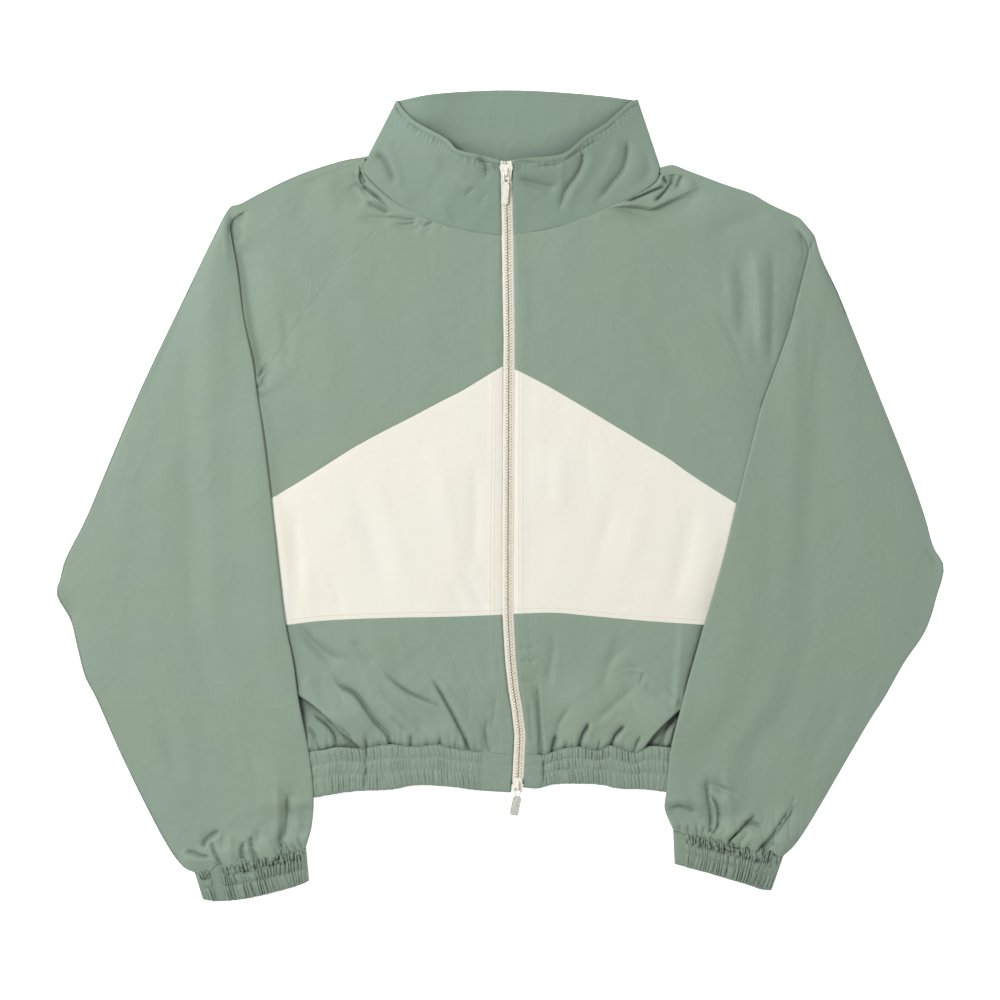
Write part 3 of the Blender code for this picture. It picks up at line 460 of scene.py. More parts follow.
# outlines of the laid-out jacket, each run in the order its piece is built in
outlines = {
    "innerLeft": [(-274, 284), (-270, 261), (-263, 223), (-257, 177), (-247, 130), (-244, 106), (-238, 68),
        (-229, -5), (-215, -127), (-207, -168), (-202, -204), (-192, -255), (-187, -303), (-189, -331),
        (-191, -340), (-195, -353.5)],
    "innerRight": [(300, 278.4), (302, 268.5), (306, 256.6), (309.9, 246.4), (309.6, 242.4), (304, 219),
        (297.7, 195), (292, 172), (273, 118), (262, 88), (250, 42), (237, -9), (224, -63), (204, -132),
        (181, -214), (171, -255), (167, -295), (165, -313), (169, -325), (174, -336)],
    "outerLeft": [(-130.5, 340.5), (-138, 338.8), (-156, 335.7), (-202, 321), (-240, 303), (-262, 291.5),
        (-269.6, 289.6), (-274, 284.2), (-284, 265), (-323, 185), (-361, 105), (-395, 25), (-416, -25),
        (-437, -67), (-441, -83), (-445, -99), (-431, -125), (-424, -153), (-416, -183), (-406, -202),
        (-378, -265), (-337, -346), (-324, -366), (-315, -375), (-306, -378.5)],
    "outerRight": [(159.5, 327), (163, 329), (173, 331), (187, 326), (227, 311), (252.6, 302.3),
        (271, 291.7), (297, 279.8), (300.4, 278), (307.7, 269.6), (314.6, 261), (316, 258), (321.7, 239),
        (338, 205), (353, 168), (370, 125), (386, 85), (402, 45), (417, 5), (427, -25), (435, -53),
        (445, -71), (437, -105), (432, -123), (424, -141), (406, -167), (385, -204), (372, -224),
        (303, -341), (293, -354), (284, -362)],
    "raglanLeft": [(-70, 276), (-95, 280), (-116, 275), (-130, 259), (-152, 237), (-168, 220), (-185, 197),
        (-195, 184), (-228, 134), (-243, 103)],
    "raglanRight": [(92, 281), (120, 278), (135, 268), (158, 239), (180, 215), (203, 180), (223, 154),
        (241, 125), (256, 99), (261, 88)],
    "neckLeft": [(-130.5, 340.5), (-136.6, 326.5), (-123.7, 310.4), (-100.8, 292), (-70, 276), (-61, 273),
        (-31, 265), (1.3, 260.7)],
    "neckRight": [(159.5, 327), (157.5, 317), (138, 302), (107, 288.5), (92, 281), (65, 271), (20, 262),
        (13.7, 260.7)],
    "topLeft": [(-102.5, 395), (-97, 386), (-85, 374), (-53, 355), (-43, 345), (-20, 339), (-0.2, 333.5)],
    "topRight": [(136.5, 396), (131, 394), (105, 371), (85, 358), (64, 341), (25, 335.5), (12.2, 333.5)],
    "backNeck": [(-130.5, 340.5), (-100, 331), (-60, 327.8), (-20, 327), (30, 326.8), (80, 327.6),
        (120, 327.4), (159.5, 327)],
    "backTop": [(-102.5, 395), (-75, 400.5), (-45, 404), (-12, 406), (24, 406), (62, 404), (102, 400.5),
        (136.5, 396)],
    "chevronFootLeft": [(-269, -136), (-213, -130), (-178, -126), (-108, -123), (-52, -122), (1.8, -120)],
    "chevronFootRight": [(270, -136), (202, -130), (145, -126), (89, -121), (55, -118), (14.2, -119)],
    "hemTopLeft": [(-210, -257), (-179, -256), (-165, -253), (-137, -254), (-127, -252), (-109, -250),
        (-84, -252), (-61, -250), (-50, -253), (-29, -256), (-8, -258), (13.0, -260)],
    "hemTopRight": [(212, -257), (169, -253), (149, -252), (135, -258), (120, -253), (108, -251),
        (100, -255), (77, -252), (60, -255), (45, -260), (36, -260), (25.4, -260)],
    "hemFootLeft": [(-206, -302), (-184, -303), (-175, -301), (-147, -297), (-108, -295), (-86, -291),
        (-53, -292), (-20, -296), (10.9, -298)],
    "hemFootRight": [(207, -300), (162, -297), (146, -295), (118, -294), (99, -290), (54, -290), (37, -294),
        (23.4, -293)],
    "cuffEdgeLeft": [(-195, -353.5), (-198, -355), (-201, -358.5), (-206, -362), (-212, -359), (-218, -352),
        (-220, -358), (-223, -364), (-232, -368.5), (-243, -369), (-247.4, -366), (-251, -368.5),
        (-256, -368.5), (-260.4, -366), (-264, -370.6), (-271, -372.4), (-279, -371), (-284, -368),
        (-290, -374.5), (-294, -377), (-299, -376), (-306, -378.5)],
    "cuffEdgeRight": [(174, -336), (181, -336.6), (184, -339), (187, -337), (191, -341), (195, -338.4),
        (199, -343), (203, -340), (207, -344), (211, -340.4), (216, -345), (221, -343.6), (226.5, -350),
        (232, -346.6), (238, -349), (243, -353), (248, -350.6), (254, -357), (259, -353.6), (266, -356.4),
        (272, -353.6), (277, -360), (284, -362)],
    "slantLeft": [(-248, -15), (-200, 13.8), (-175, 29.4), (-148, 46.6), (-120, 62), (-85, 79.9),
        (-59, 93.8), (-39, 103.8), (-20.5, 115)],
    "slantRight": [(215, 5), (187, 23.4), (169, 36.4), (150, 48), (107.7, 73.7), (51, 107.4), (30, 118.6)],
    "chevronTopSideY": -31, "chevronTopZipY": {"left": 129, "right": 126},
}

# Folds, listed one by one. Each row: height, width on the left and on the right of the way it runs (or, for
# a ledge, rise, width, drop, width), share of its length to fade in and out, and its path.
bodyFolds = [
    # left neck: a narrow lip beside the seam, dark on both sides, and pleats under it
    (-3.4, 1.2, 1.2, .05, .2, [(-132.6, 340), (-135, 333.5), (-138.4, 327)]),
    (1.8, 1.3, 1.3, .1, .2, [(-138.4, 325), (-136.2, 319), (-132, 313.6), (-122, 304.8), (-108, 294.6)]),
    (-3.0, 1.1, 1.3, .2, .2, [(-137.4, 332), (-139.4, 323), (-140.2, 316)]),
    (-3.8, 1.5, 1.6, .2, .25, [(-139, 321.6), (-138.8, 316.4), (-134.6, 313.2)]),
    (-4.2, 1.4, 2.0, .12, .35, [(-137.6, 309.4), (-133.8, 305.8), (-126.8, 300.6), (-119.6, 296.6)]),
    (6.4, 1.1, 1.3, .08, .25, [(-140.2, 334), (-141.6, 325.4), (-142, 316.9), (-140.2, 311.8),
        (-133.8, 304.6), (-126.8, 298.2), (-118.3, 291.3), (-108.5, 283.3)]),
    (-1.4, 1.4, 3.0, .3, .3, [(-146, 323.5), (-144, 316), (-142, 310), (-135, 302.4), (-127.6, 295.6)]),
    (-1.3, 1.0, 1.2, .1, .3, [(-138.4, 331), (-139.6, 324), (-139.8, 317.2), (-138, 312.6), (-131.4, 306.2),
        (-124.4, 300.2), (-116, 293.4), (-109, 286.6)]),
    (2.2, 1.2, 1.2, .3, .2, [(-151.5, 326), (-146.5, 319), (-142.4, 312.6)]),
    (-2.4, 5, 7, .3, .3, [(-149, 314), (-143, 303), (-134, 293)]),
    (-2.8, 1.8, 3.0, .25, .25, [(-134.5, 295.6), (-121.5, 287.6), (-108.5, 281)]),
    (2.0, 1.4, 1.6, .3, .3, [(-130, 290.5), (-118, 284), (-106, 279.6)]),
    (-2.2, 4.0, 5.0, .4, .4, [(-144, 279), (-126, 277), (-106, 277)]),
    (-1.8, 1.8, 2.6, .4, .15, [(-122, 277), (-110, 278.4), (-98.6, 277.4), (-81.7, 276)]),
    (-1.6, 1.8, 2.4, .3, .2, [(-110, 272.4), (-102, 271.2), (-94.4, 271), (-81.7, 273.9)]),
    (2.4, 1.4, 1.4, .3, .2, [(-108, 275.2), (-94, 274.2), (-84, 275)]),
    (-1.8, 1.3, 1.3, .3, .2, [(-78, 269.4), (-72, 271.6), (-67, 274.4)]),
    (-1.2, 1.4, 1.8, .3, .3, [(-104, 265.6), (-90, 266.8), (-80, 269.6)]),
    (-0.8, 1.5, 1.5, .2, .5, [(-76, 276), (-84, 267), (-93, 260)]),
    (-0.7, 1.4, 1.4, .2, .5, [(-66, 273), (-72, 265), (-79, 257)]),
    (-0.6, 1.4, 1.4, .2, .5, [(-57, 270.5), (-61, 261)]),
    (-1.3, 9, 12, .3, .3, [(-154, 326), (-152, 305), (-146, 286)]),
    (1.2, 9, 12, .3, .3, [(-176, 322), (-172, 300), (-160, 280)]),
    (-0.9, 12, 12, .4, .4, [(-214, 306), (-196, 284), (-176, 258)]),
    (0.9, 14, 12, .4, .4, [(-236, 290), (-222, 262), (-204, 236)]),
    (-0.7, 10, 12, .4, .4, [(-150, 262), (-164, 234), (-186, 208)]),
    # left shoulder corner, and the shade beside the sleeve, where the body rises to the sleeve's edge
    (2.8, 5, 7, .3, .1, [(-268, 262), (-262, 226), (-256, 180), (-246, 132), (-241, 96), (-232, 30),
        (-222, -60), (-214, -130), (-206, -170)]),
    (-5.0, 2.2, 3.0, .05, .3, [(-269.0, 290), (-267.4, 279), (-264.4, 266), (-261.4, 252)]),
    (4.6, 2.0, 2.4, .05, .4, [(-264.0, 294), (-262.6, 282), (-260.6, 271)]),
    (-4.0, 2.6, 2.4, .1, .4, [(-259.4, 291), (-260.6, 280), (-263.4, 268)]),
    (-3.8, 18, 6.5, .15, .2, [(-262, 262), (-255.4, 228), (-249, 182), (-240, 134), (-235, 110)]),
    (-2.2, 1.7, 1.7, .3, .3, [(-231, 133), (-237, 126), (-243.5, 116)]),
    (-1.5, 1.4, 1.6, .3, .3, [(-228, 126), (-233, 120), (-241, 113)]),
    (1.6, 1.8, 1.8, .3, .3, [(-228, 131), (-234, 124), (-241, 117)]),
    (-1.4, 1.5, 1.7, .3, .4, [(-242, 100), (-236, 97), (-230, 99)]),
    (-2.2, 1.8, 1.8, .2, .3, [(-246, 109), (-239, 110), (-232, 115)]),
    (-1.9, 1.7, 1.7, .2, .4, [(-245, 105), (-240, 100), (-236, 92)]),
    (1.5, 2.0, 2.0, .2, .4, [(-243, 113), (-236, 117), (-229, 125)]),
    (1.4, 2.2, 2.2, .2, .4, [(-243, 107), (-235, 105), (-228, 105)]),
    (-1.0, 7, 5, .4, .4, [(-222, 200), (-214, 160), (-214, 120)]),
    (0.7, 16, 16, .4, .4, [(-190, 250), (-185, 200), (-196, 120)]),
    # right neck: bunched cloth with a folded tip, over a soft shadowed hollow
    (-3.6, 1.1, 1.2, .05, .15, [(162.2, 330), (165.6, 316), (168.8, 311.8)]),
    (2.4, 1.3, 1.3, .1, .15, [(159.4, 323), (161.4, 313), (150, 306.4), (136, 300), (116, 293)]),
    (3.6, 1.4, 1.3, .1, .2, [(164.4, 328), (168, 316.6), (171.6, 311.6), (165.4, 302.6), (157.4, 295.4)]),
    (-2.2, 2.2, 2.6, .2, .3, [(169, 327), (173, 321), (175, 316)]),
    (-4.6, 1.3, 1.7, .15, .2, [(175, 319.6), (171.4, 312.4), (168.4, 307.6), (162.3, 300.4),
        (153.9, 293.4)]),
    (-3.0, 1.1, 1.5, .1, .2, [(167, 310.4), (152.4, 304.6), (139.6, 298.8), (125.5, 293)]),
    (3.0, 1.4, 1.6, .15, .3, [(122.8, 292.8), (134.1, 292.4), (148.2, 290), (154.6, 289.4), (166.5, 294.4),
        (182.1, 300.2), (193.3, 305.6)]),
    (-2.4, 1.6, 2.2, .25, .3, [(184, 323.5), (180, 315), (176.4, 306)]),
    (-4.8, 4.2, 11, .25, .4, [(112, 286.5), (128, 286), (142, 284.6), (152, 282.6), (160, 284), (170, 288),
        (184, 293.6), (198, 299.4), (214, 303.5)]),
    (1.5, 4, 4, .3, .3, [(196, 320), (190, 311), (184, 303)]),
    (-0.9, 3, 4, .3, .3, [(206, 319), (200, 311), (196, 304)]),
    (0.7, 3, 3, .3, .4, [(92, 282), (104, 279.5), (118, 279)]),
    (-0.7, 2.4, 2.4, .3, .4, [(100, 279), (114, 275), (128, 275)]),
    (1.2, 8, 12, .3, .3, [(262, 292), (240, 290), (216, 282), (196, 270)]),
    (-1.2, 7, 8, .3, .3, [(280, 284), (254, 278), (228, 268), (204, 256)]),
    # right shoulder: long upright folds beside the sleeve
    (-1.7, 6, 6, .3, .3, [(238, 246), (243, 210), (243, 173), (240, 144)]),
    (1.7, 6, 5, .3, .3, [(228, 236), (231, 200), (231, 166)]),
    (7.0, 16, 5, .3, .3, [(255, 252), (259, 208), (261, 168), (264, 130)]),
    (-1.4, 4, 4, .3, .25, [(272, 262), (273.5, 228), (273, 182), (272, 142), (272, 118)]),
    (-2.4, 3.0, 7, .1, .35, [(300.5, 276), (304, 262), (308.4, 246), (303, 218), (296, 190), (284, 152)]),
    (-1.0, 5, 5, .4, .3, [(213, 195), (234, 156), (252, 112)]),
    (0.9, 10, 10, .4, .4, [(206, 250), (214, 206), (226, 150)]),
    (-0.6, 14, 14, .4, .4, [(150, 200), (170, 140), (205, 80)]),
    (0.6, 10, 18, .4, .4, [(110, 240), (135, 170), (170, 100)]),
    # colour block: soft upright bands
    (3.0, 12, 7, .3, .3, [(-227, 6), (-225, -40), (-219, -84), (-212, -118)]),
    (-1.2, 7, 6, .3, .4, [(-207, -8), (-205, -50), (-199, -100)]),
    (1.6, 7, 6, .4, .4, [(-196, -60), (-193, -96), (-186, -124)]),
    (-1.1, 11, 9, .4, .4, [(-157, 36), (-141, -12), (-122, -66), (-106, -112)]),
    (1.8, 10, 12, .4, .4, [(-137, 40), (-119, -8), (-101, -60), (-86, -106)]),
    (1.6, 9, 11, .4, .4, [(-70, 66), (-58, 10), (-46, -60), (-50, -110)]),
    (-1.2, 5, 6, .3, .3, [(-26, 40), (-24, -20), (-27, -80)]),
    (-1.3, 2.8, 4.0, .4, .2, [(-38, -74), (-25, -97), (-13, -118)]),
    (-1.0, 2.6, 3.4, .4, .2, [(-52, -86), (-42, -104), (-34, -121)]),
    (-0.9, 2.6, 3.2, .4, .3, [(-176, -72), (-163, -98), (-158, -124)]),
    (1.5, 8, 8, .4, .4, [(66, 60), (60, 20), (58, -30)]),
    (-0.6, 9, 8, .4, .4, [(120, 40), (112, -10), (96, -70), (90, -112)]),
    (0.9, 9, 9, .4, .4, [(150, 40), (140, -20), (122, -84), (116, -118)]),
    (-1.3, 8, 10, .3, .4, [(196, 4), (188, -50), (176, -96), (168, -126)]),
    (2.4, 8, 10, .3, .3, [(222, -24), (211, -66), (199, -104), (192, -126)]),
    # left lower front
    (-1.9, 1.8, 1.8, .2, .05, [(-188, -219), (-172, -231), (-165, -241), (-163, -254)]),
    (1.5, 2.2, 2.0, .2, .05, [(-182, -219), (-166, -232), (-158, -243), (-156, -254)]),
    (-1.9, 1.8, 1.8, .2, .05, [(-176, -222), (-160, -233), (-150, -242), (-147, -254)]),
    (1.4, 2.2, 2.0, .2, .05, [(-195, -226), (-183, -238), (-176, -253)]),
    (-1.7, 1.8, 1.8, .2, .05, [(-193, -232), (-186, -242), (-181, -254)]),
    (-3.4, 1.8, 1.8, .25, .03, [(-170, -178), (-159, -192), (-145.8, -199.6), (-136, -212), (-125, -228),
        (-113, -241), (-110, -252), (-109.5, -259)]),
    (-1.5, 4.5, 4.5, .3, .2, [(-127.5, -186), (-107.3, -205.4), (-88, -222.7), (-72.7, -240)]),
    (-0.9, 3.5, 3.5, .3, .3, [(-103, -190), (-86, -206), (-66, -222), (-54, -236)]),
    (-1.6, 1.8, 2.2, .4, .4, [(-124.6, -166.9), (-111.2, -182.3), (-92, -197.7), (-61.2, -210.2),
        (-50, -216)]),
    (-2.6, 1.3, 1.5, .3, .05, [(-72.7, -176.5), (-55.4, -205.4), (-41, -232.3), (-29.4, -256)]),
    (2.2, 9, 3, .3, .1, [(-67, -176), (-50, -204), (-36, -231), (-25, -253)]),
    (-1.6, 5, 5, .3, .3, [(-203, -128), (-190, -149), (-171, -167), (-160, -180)]),
    (-1.2, 4.5, 4.5, .3, .3, [(-149.6, -143.8), (-132.3, -163), (-124, -172)]),
    (-1.2, 1.9, 2.4, .3, .2, [(-112, -219), (-101, -230), (-90, -239)]),
    (-1.9, 5, 4, .35, .3, [(-197, -138), (-184, -151), (-173, -159), (-153, -170)]),
    (1.5, 5, 7, .35, .3, [(-190, -130), (-172, -146), (-156, -156), (-136, -166)]),
    (1.0, 5, 5, .4, .4, [(-108, -130), (-100, -150), (-84, -168)]),
    (-0.9, 3, 3, .3, .4, [(-203, -127), (-194, -139), (-186, -150)]),
    (0.9, 8, 8, .4, .3, [(-30, -135), (-22, -170), (-12, -220)]),
    (-1.0, 2.4, 2.4, .3, .2, [(-4, -196), (-6, -220), (-10, -238)]),
    (-1.4, 1.8, 2.2, .3, .05, [(-12, -222), (-14, -240), (-10, -258)]),
    (-2.2, 1.5, 2.0, .4, .02, [(-88.4, -237), (-89, -246), (-89.8, -255)]),
    (-1.9, 1.5, 1.8, .4, .02, [(-60, -240), (-60, -255)]),
    (-1.3, 1.5, 1.5, .4, .02, [(-73, -243), (-74, -255)]),
    (-1.5, 1.5, 1.5, .4, .02, [(-100, -245), (-100, -255)]),
    (-1.9, 1.8, 1.8, .4, .02, [(-135, -240), (-132, -256)]),
    (-1.4, 1.6, 1.6, .4, .02, [(-122, -243), (-120, -256)]),
    (-1.5, 1.6, 1.6, .4, .02, [(-44, -243), (-46, -256)]),
    # right lower front
    (-2.4, 1.3, 4.5, .2, .02, [(37, -186), (38.4, -206), (40, -232), (41.7, -262)]),
    (1.4, 2.6, 1.6, .2, .1, [(40, -190), (41.6, -214), (44, -252)]),
    (-0.9, 2.0, 2.6, .3, .1, [(29, -200), (30, -220), (33, -250)]),
    (-1.5, 4, 5, .35, .35, [(46, -130), (53.7, -146), (51, -171), (47, -200)]),
    (-1.6, 2.6, 3.4, .3, .1, [(74, -208), (60, -228), (56, -242), (54, -257)]),
    (-3.6, 1.5, 2.2, .25, .02, [(90, -226), (87, -233), (82, -242), (79, -254)]),
    (1.6, 3.0, 2.0, .3, .2, [(94, -228), (90, -238), (86, -250)]),
    (-3.6, 1.5, 2.2, .25, .02, [(127, -229), (121, -235), (114, -243), (110.5, -254)]),
    (1.6, 3.0, 2.0, .3, .2, [(130, -233), (123, -240), (118, -250)]),
    (-2.4, 1.5, 1.7, .3, .02, [(57, -240), (54, -247), (51.5, -257)]),
    (-2.2, 1.5, 1.7, .3, .02, [(142, -240), (137, -248), (134, -256)]),
    (-1.6, 1.4, 1.4, .4, .02, [(67, -243), (66, -255)]),
    (-1.8, 1.4, 1.4, .4, .02, [(100, -244), (98, -255)]),
    (-1.7, 4, 5, .3, .35, [(139.6, -189), (126, -201), (112.7, -212.4), (89.6, -233)]),
    (-1.0, 1.5, 1.5, .3, .3, [(125.5, -170), (134, -172), (142, -175)]),
    (-1.3, 1.5, 1.8, .2, .5, [(143.5, -177), (142.4, -183), (139, -191)]),
    (-0.7, 1.5, 1.5, .3, .4, [(128, -177), (136, -180), (141, -184)]),
    (-1.1, 3.0, 3.0, .2, .4, [(143.5, -190), (156, -198), (169, -202)]),
    (-1.4, 5, 6, .35, .35, [(135.8, -145.8), (112.7, -166), (99.9, -199.6)]),
    (4.0, 16, 3.5, .35, .1, [(183, -122), (182, -140), (180, -165), (178, -190), (176, -214)]),
    (-2.4, 10, 14, .2, .1, [(226, -20), (217, -80), (207, -130), (200, -160), (192, -195), (184, -212)]),
    (-1.9, 1.8, 1.8, .2, .05, [(176, -222), (166, -234), (160, -254)]),
    (1.4, 2.0, 2.0, .2, .05, [(178, -226), (171, -238), (165, -254)]),
    (-1.7, 1.7, 1.7, .2, .05, [(182, -228), (175, -240), (170, -254)]),
    (0.9, 6, 6, .4, .4, [(60, -128), (56, -150), (50, -180)]),
    (-0.9, 6, 5, .4, .4, [(122, -128), (116, -150), (104, -178)]),
    (-0.9, 1.6, 1.8, .3, .4, [(17, -150), (28, -153), (38, -152)]),
    (-0.9, 1.6, 1.8, .3, .4, [(18, -165), (30, -167), (40, -164)]),
    (-0.9, 1.6, 1.8, .3, .4, [(20, -183), (29, -187), (36, -186)]),
    (0.7, 2.4, 2.4, .3, .4, [(18, -157), (30, -160), (40, -158)]),
    (0.7, 2.4, 2.4, .3, .4, [(20, -174), (31, -177), (40, -174)]),
    # right neck: the bunch stands over the shoulder; both corners of the hem hang over a hollow
    (1.2, 8, 1.6, 6, .15, .5, [(106, 287), (124, 289.4), (140, 288.4), (152, 286.6), (157, 288.6),
        (168, 294), (179, 299.4), (190, 304), (204, 310), (224, 314)]),
    (1.4, 20, 6.4, 24, .05, .1, [(-206, -199), (-190, -209), (-175, -221), (-158, -238), (-138, -252)]),
    (1.4, 20, 6.4, 18, .1, .05, [(143, -253), (156, -238), (169, -225), (184, -212)]),
    # folds that hang over the cloth on their right
    (1.2, 9, 2.2, 8, .05, .35, [(-109, -258), (-112, -241), (-124, -228), (-135, -212), (-145, -199.6),
        (-158, -192), (-170, -178)]),
    (0.9, 8, 1.2, 12, .3, .4, [(-52, -216), (-62, -211), (-91.6, -198.6), (-110.8, -183), (-124, -168)]),
]


def sleeveEdge(y, side):
    points = np.array(outlines["inner" + side])
    return np.abs(down(y, points[:, 1], points[:, 0]))


def underSleeve(x, y):
    # how far a point lies under a sleeve, past the edge that shows
    edge = np.where(x < 0, sleeveEdge(y, "Left"), sleeveEdge(y, "Right"))
    return np.where(y > 270, -99.0, np.abs(x) - edge)


def shownBody(x, y):
    # 1 where the body shows, 0 under the sleeves
    return smooth((8 - underSleeve(x, y)) / 8)


def bodyDetail(x, y):
    z = relief(bodyFolds, x, y)
    along, across = x * 0.55 + y * 0.83, x * 0.83 - y * 0.55
    z += 0.7 * cloud(across, along * 0.45, 62, 3)
    z += 0.35 * cloud(x * 0.9, y * 0.35, 21, 4)
    lively = smooth((-130 - y) / 60)
    z += lively * 0.6 * cloud(x + 0.5 * y, y * 0.5 - 0.2 * x, 15, 5)
    z += (1.0 + 0.9 * lively) * crumple(x, y, 7)
    lean = np.where(x < 0, 0.62, -0.55)
    z += 0.5 * lively * creased(0.8 * x + lean * y, 0.8 * y - lean * x, 15, 21)
    z += 0.45 * creased(x, y, 42, 24)
    # kept low where a sleeve lies on it
    z = z - smooth((underSleeve(x, y) + 7) / 5) * np.maximum(z - 0.9, 0)
    return z * shownBody(x, y)


def gather(u, away, seed, deep):
    # small pleats that spring from a gathered seam and fade away from it, some longer than others
    strong = 0.55 + 0.45 * cloud(u, 0 * u, 19, seed + 2)
    broad = np.abs(np.sin(pi * (u / 9.5 + 1.3 * cloud(u, 0 * u, 23, seed)))) ** 0.7
    fine = np.abs(np.sin(pi * (u / 4.1 + 1.1 * cloud(u, 0 * u, 11, seed + 1)))) ** 0.7
    return deep * strong * ((broad - 0.6) * np.exp(-(away / (6 + 8 * strong)) ** 2)
                            + 0.5 * (fine - 0.6) * np.exp(-(away / 5) ** 2))


fronts = {
    # rows and columns of each panel
    "upper": (124, 63), "chevron": (67, 79), "lower": (91, 240),
    "wall": 0.9, "seamDip": 0.2, "seamWidth": 1.1, "edgeRoll": 1.0, "rollWidth": 1.6,
    "zipRise": 0.35, "zipRiseEnd": 14.0,
    # over the hem band: where the gathers begin, how softly, and their seed; then heights and reaches
    "gathers": {"left": (26, 10, 11), "right": (13, 8, 17)}, "gatherHigh": 1.9,
    "puff": 2.0, "puffReach": 24.0, "tuck": 1.9, "tuckReach": 7.0, "overhang": 3.0, "overhangReach": 12.0,
}


def zipEdge(side, top, bottom, count):
    y = np.linspace(top, bottom, count)
    return np.stack([zipX(y) + outward[side] * lay["frontEdge"], y], axis=-1)


def sideSeam(side, top, bottom, count):
    y = np.linspace(top, bottom, count)
    return np.stack([sideX(y, outward[side]), y], axis=-1)


def seamDip(path, count, x, y):
    # the cloth dips along a seam
    away = fromPath(x, y, evenly(path, count))[0]
    return -fronts["seamDip"] * np.exp(-(away / fronts["seamWidth"]) ** 2)


def zipRoll(x, y):
    # how far from the zip each point is, and how far the cloth turns down there
    fromZip = np.abs(x - zipX(y)) - lay["frontEdge"]
    return fromZip, fronts["edgeRoll"] * np.clip(1 - fromZip / fronts["rollWidth"], 0, 1) ** 2


def frontPanel(name, side, edges, paint, slotName, seams, flat, area):
    x, y = patch(*edges)
    z = frontZ(x, y) + bodyDetail(x, y)
    for path in seams:
        z += seamDip(path, 24, x, y)
    fromZip, roll = zipRoll(x, y)
    z += fronts["zipRise"] * smooth((fronts["zipRiseEnd"] - fromZip) / 3) - roll
    if paint == "lower_nylon_painted_shade":
        start, soft, seed = fronts["gathers"][side]
        away = np.abs(y[-1][None] - y)
        plain = smooth((fromZip - start) / soft)
        shown = shownBody(x, y)
        puff = fronts["puff"] * smooth(away / 7) * np.exp(-(away / fronts["puffReach"]) ** 2)
        z += plain * shown * (gather(x, away, seed, fronts["gatherHigh"]) + puff)
        z -= plain * fronts["tuck"] * np.clip(1 - away / fronts["tuckReach"], 0, 1) ** 2.2
        # never through the cloth beneath, nor up into a sleeve that lies on it
        z = np.maximum(z, np.where(fromZip < 11, frontZ(x, y) - 1.0, 2.0))
        z = np.minimum(z, frontZ(x, y) + 1.0 + 9 * smooth((2 - underSleeve(x, y)) / 9))
        y = y - plain * shown * fronts["overhang"] * np.clip(1 - away / fronts["overhangReach"], 0, 1)
    layCloth(name, np.stack([x, y, z], axis=-1), fronts["wall"], paint, slotName, flat=flat,
             held="laid", rests_on=["back_panel"], area=area)


def makeFronts(side):
    cap = side.title()
    topZip, sideTop = outlines["chevronTopZipY"][side], outlines["chevronTopSideY"]
    raglan = through(outlines["raglan" + cap], 200)
    outerRun = np.concatenate([raglan, sideSeam(side, lay["sideY"][0], sideTop, 60)])
    rows, cols = fronts["upper"]
    neckRun = through(outlines["neck" + cap][4:], cols)
    share = np.linspace(0, 1, rows) ** 1.5
    run = lengths(outerRun)
    outer = atLength((outerRun, run), run[-1] * share)
    zipRun = atLength((zipEdge(side, neckRun[-1][1], topZip, 200), np.linspace(0, 1, 200)), share)
    neckRun[-1] = zipRun[0]
    slant = through([tuple(outer[-1])] + outlines["slant" + cap] + [tuple(zipRun[-1])], 240)
    frontPanel(f"front_upper_{side}", side, (outer, zipRun, neckRun, evenly(slant, cols)),
               "sage_nylon", "sage_nylon", [neckRun, slant, raglan], (0.285, 0.315), 0.047)
    rows, cols = fronts["chevron"]
    foot = through(outlines["chevronFoot" + cap], cols)
    zipRun = zipEdge(side, topZip, foot[-1][1], rows)
    foot[-1] = zipRun[-1]
    frontPanel(f"front_chevron_{side}", side,
               (sideSeam(side, sideTop, foot[0][1], rows), zipRun, evenly(slant, cols), foot),
               "cream_nylon", "cream_nylon", [slant, foot], (0.285, 0.27), 0.049)
    rows, cols = fronts["lower"]
    foot, hem = through(outlines["chevronFoot" + cap], cols), through(outlines["hemTop" + cap], cols)
    zipRun = zipEdge(side, foot[-1][1], hem[-1][1], rows)
    foot[-1], hem[-1] = zipRun[0], zipRun[-1]
    frontPanel(f"front_lower_{side}", side,
               (sideSeam(side, foot[0][1], hem[0][1], rows), zipRun, foot, hem),
               "lower_nylon_painted_shade", "sage_nylon", [foot], (0.30, 0.145), 0.034)


for half in outward:
    makeFronts(half)
print("fronts made")

# elasticated bands: ribs that the elastic draws up, between rows of stitching
band = {
    "wall": 0.9, "hemRows": 27, "cuffRows": 30, "cuffStep": 0.5, "rows": (0.0, 0.31, 0.60, 1.0),
    "pitch": 3.5, "deep": 2.5, "sharp": 0.6, "channelPuff": 1.0, "close": 0.05, "ruffle": 0.35,
    "rufflePitch": 2.6, "stitchDip": 0.35, "seamDip": 0.8,
    # how the ribs wander and lean: how much, and over what length
    "wander": ((0.85, 8), (1.7, 29), (0.35, 5)), "lean": (1.3, 37),
    # columns, plain stretch beside the zip, seed and height of the ribs, and the fold across
    "left": (414, 30, 31, 0.8, (-2.0, 1.8, 1.8, .1, .1, [(-134.5, -252), (-134, -272), (-135.5, -296)])),
    "right": (349, 13, 41, 1.05, (-2.4, 2.0, 2.6, .1, .1, [(42.3, -256), (43.6, -270), (43.4, -286),
                                                           (42, -296)])),
}


